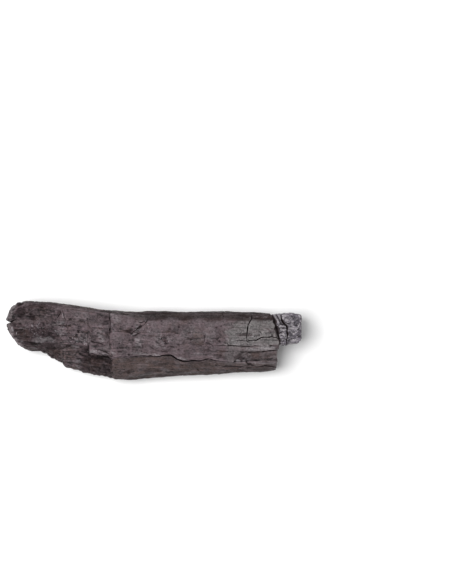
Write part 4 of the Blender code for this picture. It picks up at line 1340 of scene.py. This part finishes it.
def burnt_grain_group():
    """The face of burnt wood: a fine mottled tone, a slow change of hue, single dark pits and bright glints,
    curls for where it is broken up, and a height."""
    outputs = [(name, "Float") for name in ("Tone", "Hue", "Pits", "Glints", "Curls", "Height")]
    tree, given, out = new_group("burnt_grain", [("Vector", "Vector")], outputs)
    flat = stretched(tree, given["Vector"], 1.25)
    small = grain_noise(tree, flat, 1.5, detail=4.0, roughness=0.7)
    wide = between(tree, grain_noise(tree, flat, 8.0, detail=2.0, roughness=0.5), 0.32, 0.68, -0.45, 0.45)
    tone = plus(tree, wide, between(tree, small, 0.34, 0.66, -0.75, 0.75))
    fine = between(tree, grain_noise(tree, flat, 0.8, roughness=0.65), 0.34, 0.66, -0.4, 0.4)
    tree.links.new(plus(tree, tone, fine), out["Tone"])

    elsewhere = vectors(tree, "ADD", flat, (31.0, 7.0, 5.0))
    drift = grain_noise(tree, elsewhere, 6.0, detail=4.0, roughness=0.6)
    tree.links.new(between(tree, drift, 0.36, 0.64, -1.0, 1.0), out["Hue"])

    dotted = ragged(tree, stretched(tree, given["Vector"], 1.4), 0.8, 1.7)
    cells = node(tree, "ShaderNodeTexVoronoi", {"Vector": dotted, "Scale": 1 / 2.4}).outputs
    chance = node(tree, "ShaderNodeSeparateColor", {0: cells["Color"]}).outputs[0]
    dots = between(tree, cells["Distance"], 0.38, 0.16)
    pits = times(tree, dots, between(tree, chance, 0.80, 0.92))
    tree.links.new(pits, out["Pits"])
    tree.links.new(minus(tree, between(tree, small, 0.25, 0.75), times(tree, pits, 0.8)), out["Height"])

    glints = grain_noise(tree, ragged(tree, given["Vector"], 1.2, 1.0), 1.2, detail=2.0, roughness=0.6)
    tree.links.new(between(tree, glints, 0.58, 0.72), out["Glints"])

    curled = ragged(tree, stretched(tree, given["Vector"], 1.5), 3.0, 2.0)
    curls = between(tree, grain_noise(tree, curled, 1.7, roughness=0.6), 0.36, 0.64, -1.0, 1.0)
    tree.links.new(curls, out["Curls"])
    return tree


def hairline_checks_group():
    """Fine dark lines where the burnt wood has shrunk into long blocks, with gaps in them."""
    tree, given, out = new_group("hairline_checks", [("Vector", "Vector")], [("Lines", "Float")])
    crooked = ragged(tree, given["Vector"], 2.2, 2.2)
    blocks = {"Vector": stretched(tree, crooked, 1.9), "Scale": 1 / 6.5}
    edge = node(tree, "ShaderNodeTexVoronoi", blocks, feature="DISTANCE_TO_EDGE").outputs["Distance"]
    gaps = between(tree, grain_noise(tree, given["Vector"], 6.0, detail=2.0), 0.47, 0.60)
    tree.links.new(times(tree, between(tree, edge, 0.045, 0.012), gaps), out["Lines"])
    return tree


def soot_shade_and_ash_group():
    """The colour of burnt wood, from its soot and painted shade, how ashy and brown it is, its tone, and its
    painted glints and highlights.
    """
    inputs = [(name, "Float") for name in ("Soot_and_shade", "Ash", "Brown", "Tone", "Glints")]
    tree, given, out = new_group("soot_shade_and_ash", inputs, [("Colour", "Color")])
    colour = blend(tree, given["Brown"], CHAR_COLOUR, BROWN_COLOUR)
    colour = blend(tree, given["Ash"], colour, ASH_COLOUR)
    colour = toned(tree, colour, given["Tone"], 0.12)
    colour = blend(tree, given["Soot_and_shade"], colour, SOOT_AND_SHADE_COLOUR)
    colour = blend(tree, given["Glints"], colour, GLINT_COLOUR)
    tree.links.new(colour, out["Colour"])
    return tree


def mask(tree, name):
    return node(tree, "ShaderNodeAttribute", attribute_name=name).outputs["Fac"]


def crest_wear_and_cavity_shade(tree):
    """Lighter on the worn crests, and darker between them with painted shade."""
    return between(tree, mask(tree, "crest"), 0.0, 1.0, -0.75, 0.75)


def millimetres(tree):
    """Object coordinates in millimetres."""
    return scaled(tree, node(tree, "ShaderNodeTexCoord").outputs["Object"], 1000.0)


def new_material(name):
    """A material and its shader, with plain values of roughness and gloss. The export takes these
    plain values where it can't take the patterns.
    """
    material = bpy.data.materials.new(name)
    material.use_nodes = True
    shader = material.node_tree.nodes["Principled BSDF"]
    shader.inputs["Roughness"].default_value = 0.6
    shader.inputs["Specular IOR Level"].default_value = 0.3
    return material, material.node_tree, shader


def finish_material(tree, shader, colour, tone, roughness, soot_and_shade, gloss, height, relief):
    """Connects the shader. The roughness goes from its first value where the tone is dark to its second
    where it is light, and the gloss from its first to its second with more soot and painted shade. The relief
    is in millimetres."""
    bumps = node(tree, "ShaderNodeBump", {"Height": height, "Distance": relief * MM, "Strength": 1.0})
    tree.links.new(bumps.outputs["Normal"], shader.inputs["Normal"])
    tree.links.new(colour, shader.inputs["Base Color"])
    tree.links.new(between(tree, tone, -1.0, 1.0, *roughness), shader.inputs["Roughness"])
    tree.links.new(between(tree, soot_and_shade, 0.0, 0.7, *gloss), shader.inputs["Specular IOR Level"])


def charred_face_material(groups):
    """The outside of the lump: mottled mauve-grey char with fibres, soot, ash and brown, painted shade in
    its hollows and cracks, and painted glints and highlights.
    """
    material, tree, shader = new_material("charred_face")
    place = millimetres(tree)
    fibre = place_group(tree, groups["fibre"], {"Vector": place})
    grain = place_group(tree, groups["grain"], {"Vector": place})
    checks = place_group(tree, groups["checks"], {"Vector": place})["Lines"]
    fibrous, broken, dark = mask(tree, "fibrous"), mask(tree, "rough"), mask(tree, "dark")
    curls = times(tree, grain["Curls"], broken)
    tone = times(tree, grain["Tone"], 0.40)
    tone = times_plus(tree, times(tree, fibre["Tone"], fibrous), 0.42, tone)
    tone = times_plus(tree, curls, 0.5, tone)
    tone = plus(tree, tone, crest_wear_and_cavity_shade(tree))
    checks = times(tree, checks, between(tree, broken, 0.2, 0.6))
    pits = times(tree, largest(tree, grain["Pits"], checks), 0.7)
    # Soot, pits and checks, dark marks, and painted shade from the soot mask and deeper in the cracks
    soot_and_shade = largest(tree, mask(tree, "soot_and_shade"), pits, mask(tree, "depth"), dark)
    ash = plus(tree, mask(tree, "ash"), times(tree, grain["Hue"], 0.14))
    brown = minus(tree, mask(tree, "brown"), times(tree, grain["Hue"], 0.3))
    # Pale worn lips, lit with a painted highlight in the glint colour
    lips = times(tree, mask(tree, "pale"), between(tree, grain["Tone"], -0.8, 0.8, 0.35, 1.0))
    glints = largest(tree, times(tree, grain["Glints"], mask(tree, "glint")), times(tree, lips, 0.42))
    inputs = {"Soot_and_shade": soot_and_shade, "Ash": ash, "Brown": brown, "Tone": tone, "Glints": glints}
    colour = place_group(tree, groups["colour"], inputs)["Colour"]
    height = times_plus(tree, fibre["Height"], fibrous, grain["Height"])
    for form, share in ((checks, -0.7), (dark, -1.2), (curls, 0.9)):
        height = times_plus(tree, form, share, height)
    finish_material(
        tree, shader, colour, tone=grain["Tone"], roughness=(0.72, 0.5), soot_and_shade=soot_and_shade, gloss=(0.34, 0.06),
        height=height, relief=0.36,
    )
    return material


def broken_heartwood_material(groups):
    """The stub's breaks: silvery glossy chips with dark pits between them, painted glints on some chips, and
    painted shade in the cracks.
    """
    material, tree, shader = new_material("broken_heartwood")
    place = millimetres(tree)
    grain = place_group(tree, groups["grain"], {"Vector": place})
    dark = mask(tree, "dark")
    broken = ragged(tree, stretched(tree, place, 1.5), 1.5, 1.6)
    chips = node(tree, "ShaderNodeTexVoronoi", {"Vector": broken, "Scale": 1 / 1.3}).outputs
    chip_tone = node(tree, "ShaderNodeSeparateColor", {0: chips["Color"]}).outputs[0]
    across = vectors(tree, "SUBTRACT", broken, chips["Position"])
    lean = vectors(tree, "SUBTRACT", chips["Color"], (0.5, 0.5, 0.5))
    lean = node(tree, "ShaderNodeVectorMath", {0: across, 1: lean}, operation="DOT_PRODUCT").outputs["Value"]
    tone = times(tree, grain["Tone"], 0.6)
    tone = plus(tree, tone, between(tree, chip_tone, 0.0, 1.0, -0.4, 0.4))
    tone = plus(tree, tone, crest_wear_and_cavity_shade(tree))
    # Painted shade deeper in the cracks, and dark marks
    soot_and_shade = largest(tree, mask(tree, "depth"), dark)
    bright = between(tree, grain_noise(tree, place, 2.4, detail=4.0, roughness=0.7), 0.3, 0.7, -0.5, 0.5)
    bright = between(tree, plus(tree, bright, chip_tone), 0.76, 1.04, 0.0, 0.8)
    glints = largest(tree, bright, times(tree, mask(tree, "pale"), 0.8))
    colour = toned(tree, SILVER_COLOUR, tone, 0.15)
    colour = blend(tree, soot_and_shade, colour, SOOT_AND_SHADE_COLOUR)
    colour = blend(tree, glints, colour, GLINT_COLOUR)
    height = times_plus(tree, dark, -1.2, grain["Height"])
    height = times_plus(tree, lean, 3.0, height)
    finish_material(
        tree, shader, colour, tone=grain["Tone"], roughness=(0.50, 0.28), soot_and_shade=soot_and_shade, gloss=(0.5, 0.06),
        height=height, relief=0.35,
    )
    return material


def end_grain_material(groups):
    """The ends of the log: growth rings round the pith and rays across them."""
    material, tree, shader = new_material("end_grain")
    place = millimetres(tree)
    grain = place_group(tree, groups["grain"], {"Vector": place})
    centred = vectors(tree, "SUBTRACT", place, (0, *PITH))
    _, across, up = node(tree, "ShaderNodeSeparateXYZ", {0: centred}).outputs
    wander = grain_noise(tree, stretched(tree, centred, 4.0), 8.0, detail=2.0)
    radius = calculate(tree, "SQRT", plus(tree, times(tree, across, across), times(tree, up, up)))
    radius = times_plus(tree, wander, 3.0, radius)
    rings = calculate(tree, "SINE", times(tree, radius, 2 * np.pi / RING_WIDTH))
    rings = calculate(tree, "POWER", between(tree, rings, -1.0, 1.0), 2.0)
    angle = calculate(tree, "ARCTAN2", up, across)
    rays = calculate(tree, "SINE", times_plus(tree, angle, 31.0, times(tree, wander, 9.0)))
    tone = times(tree, grain["Tone"], 0.34)
    tone = plus(tree, tone, between(tree, rings, 0.0, 1.0, 0.25, -0.5))
    tone = plus(tree, tone, between(tree, rays, -1.0, 1.0, -0.14, 0.16))
    # Dark pits, and painted shade deeper in the cracks
    soot_and_shade = largest(tree, times(tree, grain["Pits"], 0.8), mask(tree, "depth"))
    ash = times_plus(tree, mask(tree, "ash"), 0.5, 0.15)
    glints = times(tree, grain["Glints"], 0.45)
    inputs = {"Soot_and_shade": soot_and_shade, "Ash": ash, "Brown": 0.15, "Tone": tone, "Glints": glints}
    colour = place_group(tree, groups["colour"], inputs)["Colour"]
    height = minus(tree, grain["Height"], times(tree, rings, 1.3))
    finish_material(
        tree, shader, colour, tone=grain["Tone"], roughness=(0.62, 0.42), soot_and_shade=soot_and_shade, gloss=(0.4, 0.06),
        height=height, relief=0.32,
    )
    return material


def crack_walls_material(groups):
    """The walls of the cracks: brown at the lips, and darker with painted shade further down, to black."""
    material, tree, shader = new_material("crack_walls")
    place = millimetres(tree)
    grain = place_group(tree, groups["grain"], {"Vector": place})
    fibre = place_group(tree, groups["fibre"], {"Vector": place})
    tone = times(tree, plus(tree, grain["Tone"], fibre["Tone"]), 0.3)
    soot_and_shade = between(tree, mask(tree, "depth"), 0.0, 0.6, 0.15, 0.55)
    inputs = {"Soot_and_shade": soot_and_shade, "Ash": 0.2, "Brown": 0.3, "Tone": tone, "Glints": 0.0}
    colour = place_group(tree, groups["colour"], inputs)["Colour"]
    finish_material(
        tree, shader, colour, tone=grain["Tone"], roughness=(0.8, 0.6), soot_and_shade=soot_and_shade, gloss=(0.2, 0.02),
        height=fibre["Height"], relief=0.25,
    )
    return material


def make_materials():
    groups = {
        "fibre": wood_fibre_group(),
        "grain": burnt_grain_group(),
        "checks": hairline_checks_group(),
        "colour": soot_shade_and_ash_group(),
    }
    makers = (charred_face_material, broken_heartwood_material, end_grain_material, crack_walls_material)
    return [make(groups) for make in makers]


noise.seed_set(SEED)
lump, uncut = make_lump()
lump.name = lump.data.name = "charred_lump"
lump.data.materials.clear()
for material in make_materials():
    lump.data.materials.append(material)
choose_materials(lump.data, paint_masks(lump.data, uncut))
only(lump)
bpy.ops.object.shade_smooth_by_angle(angle=np.radians(SHARP_ANGLE))
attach(lump, "root")
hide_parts("charcoal_lump")

make_floor()
make_light("key", KEY_PLACE, KEY_SIZE, KEY_POWER)
make_world()
make_camera()
bpy.context.scene.view_settings.view_transform = "Standard"
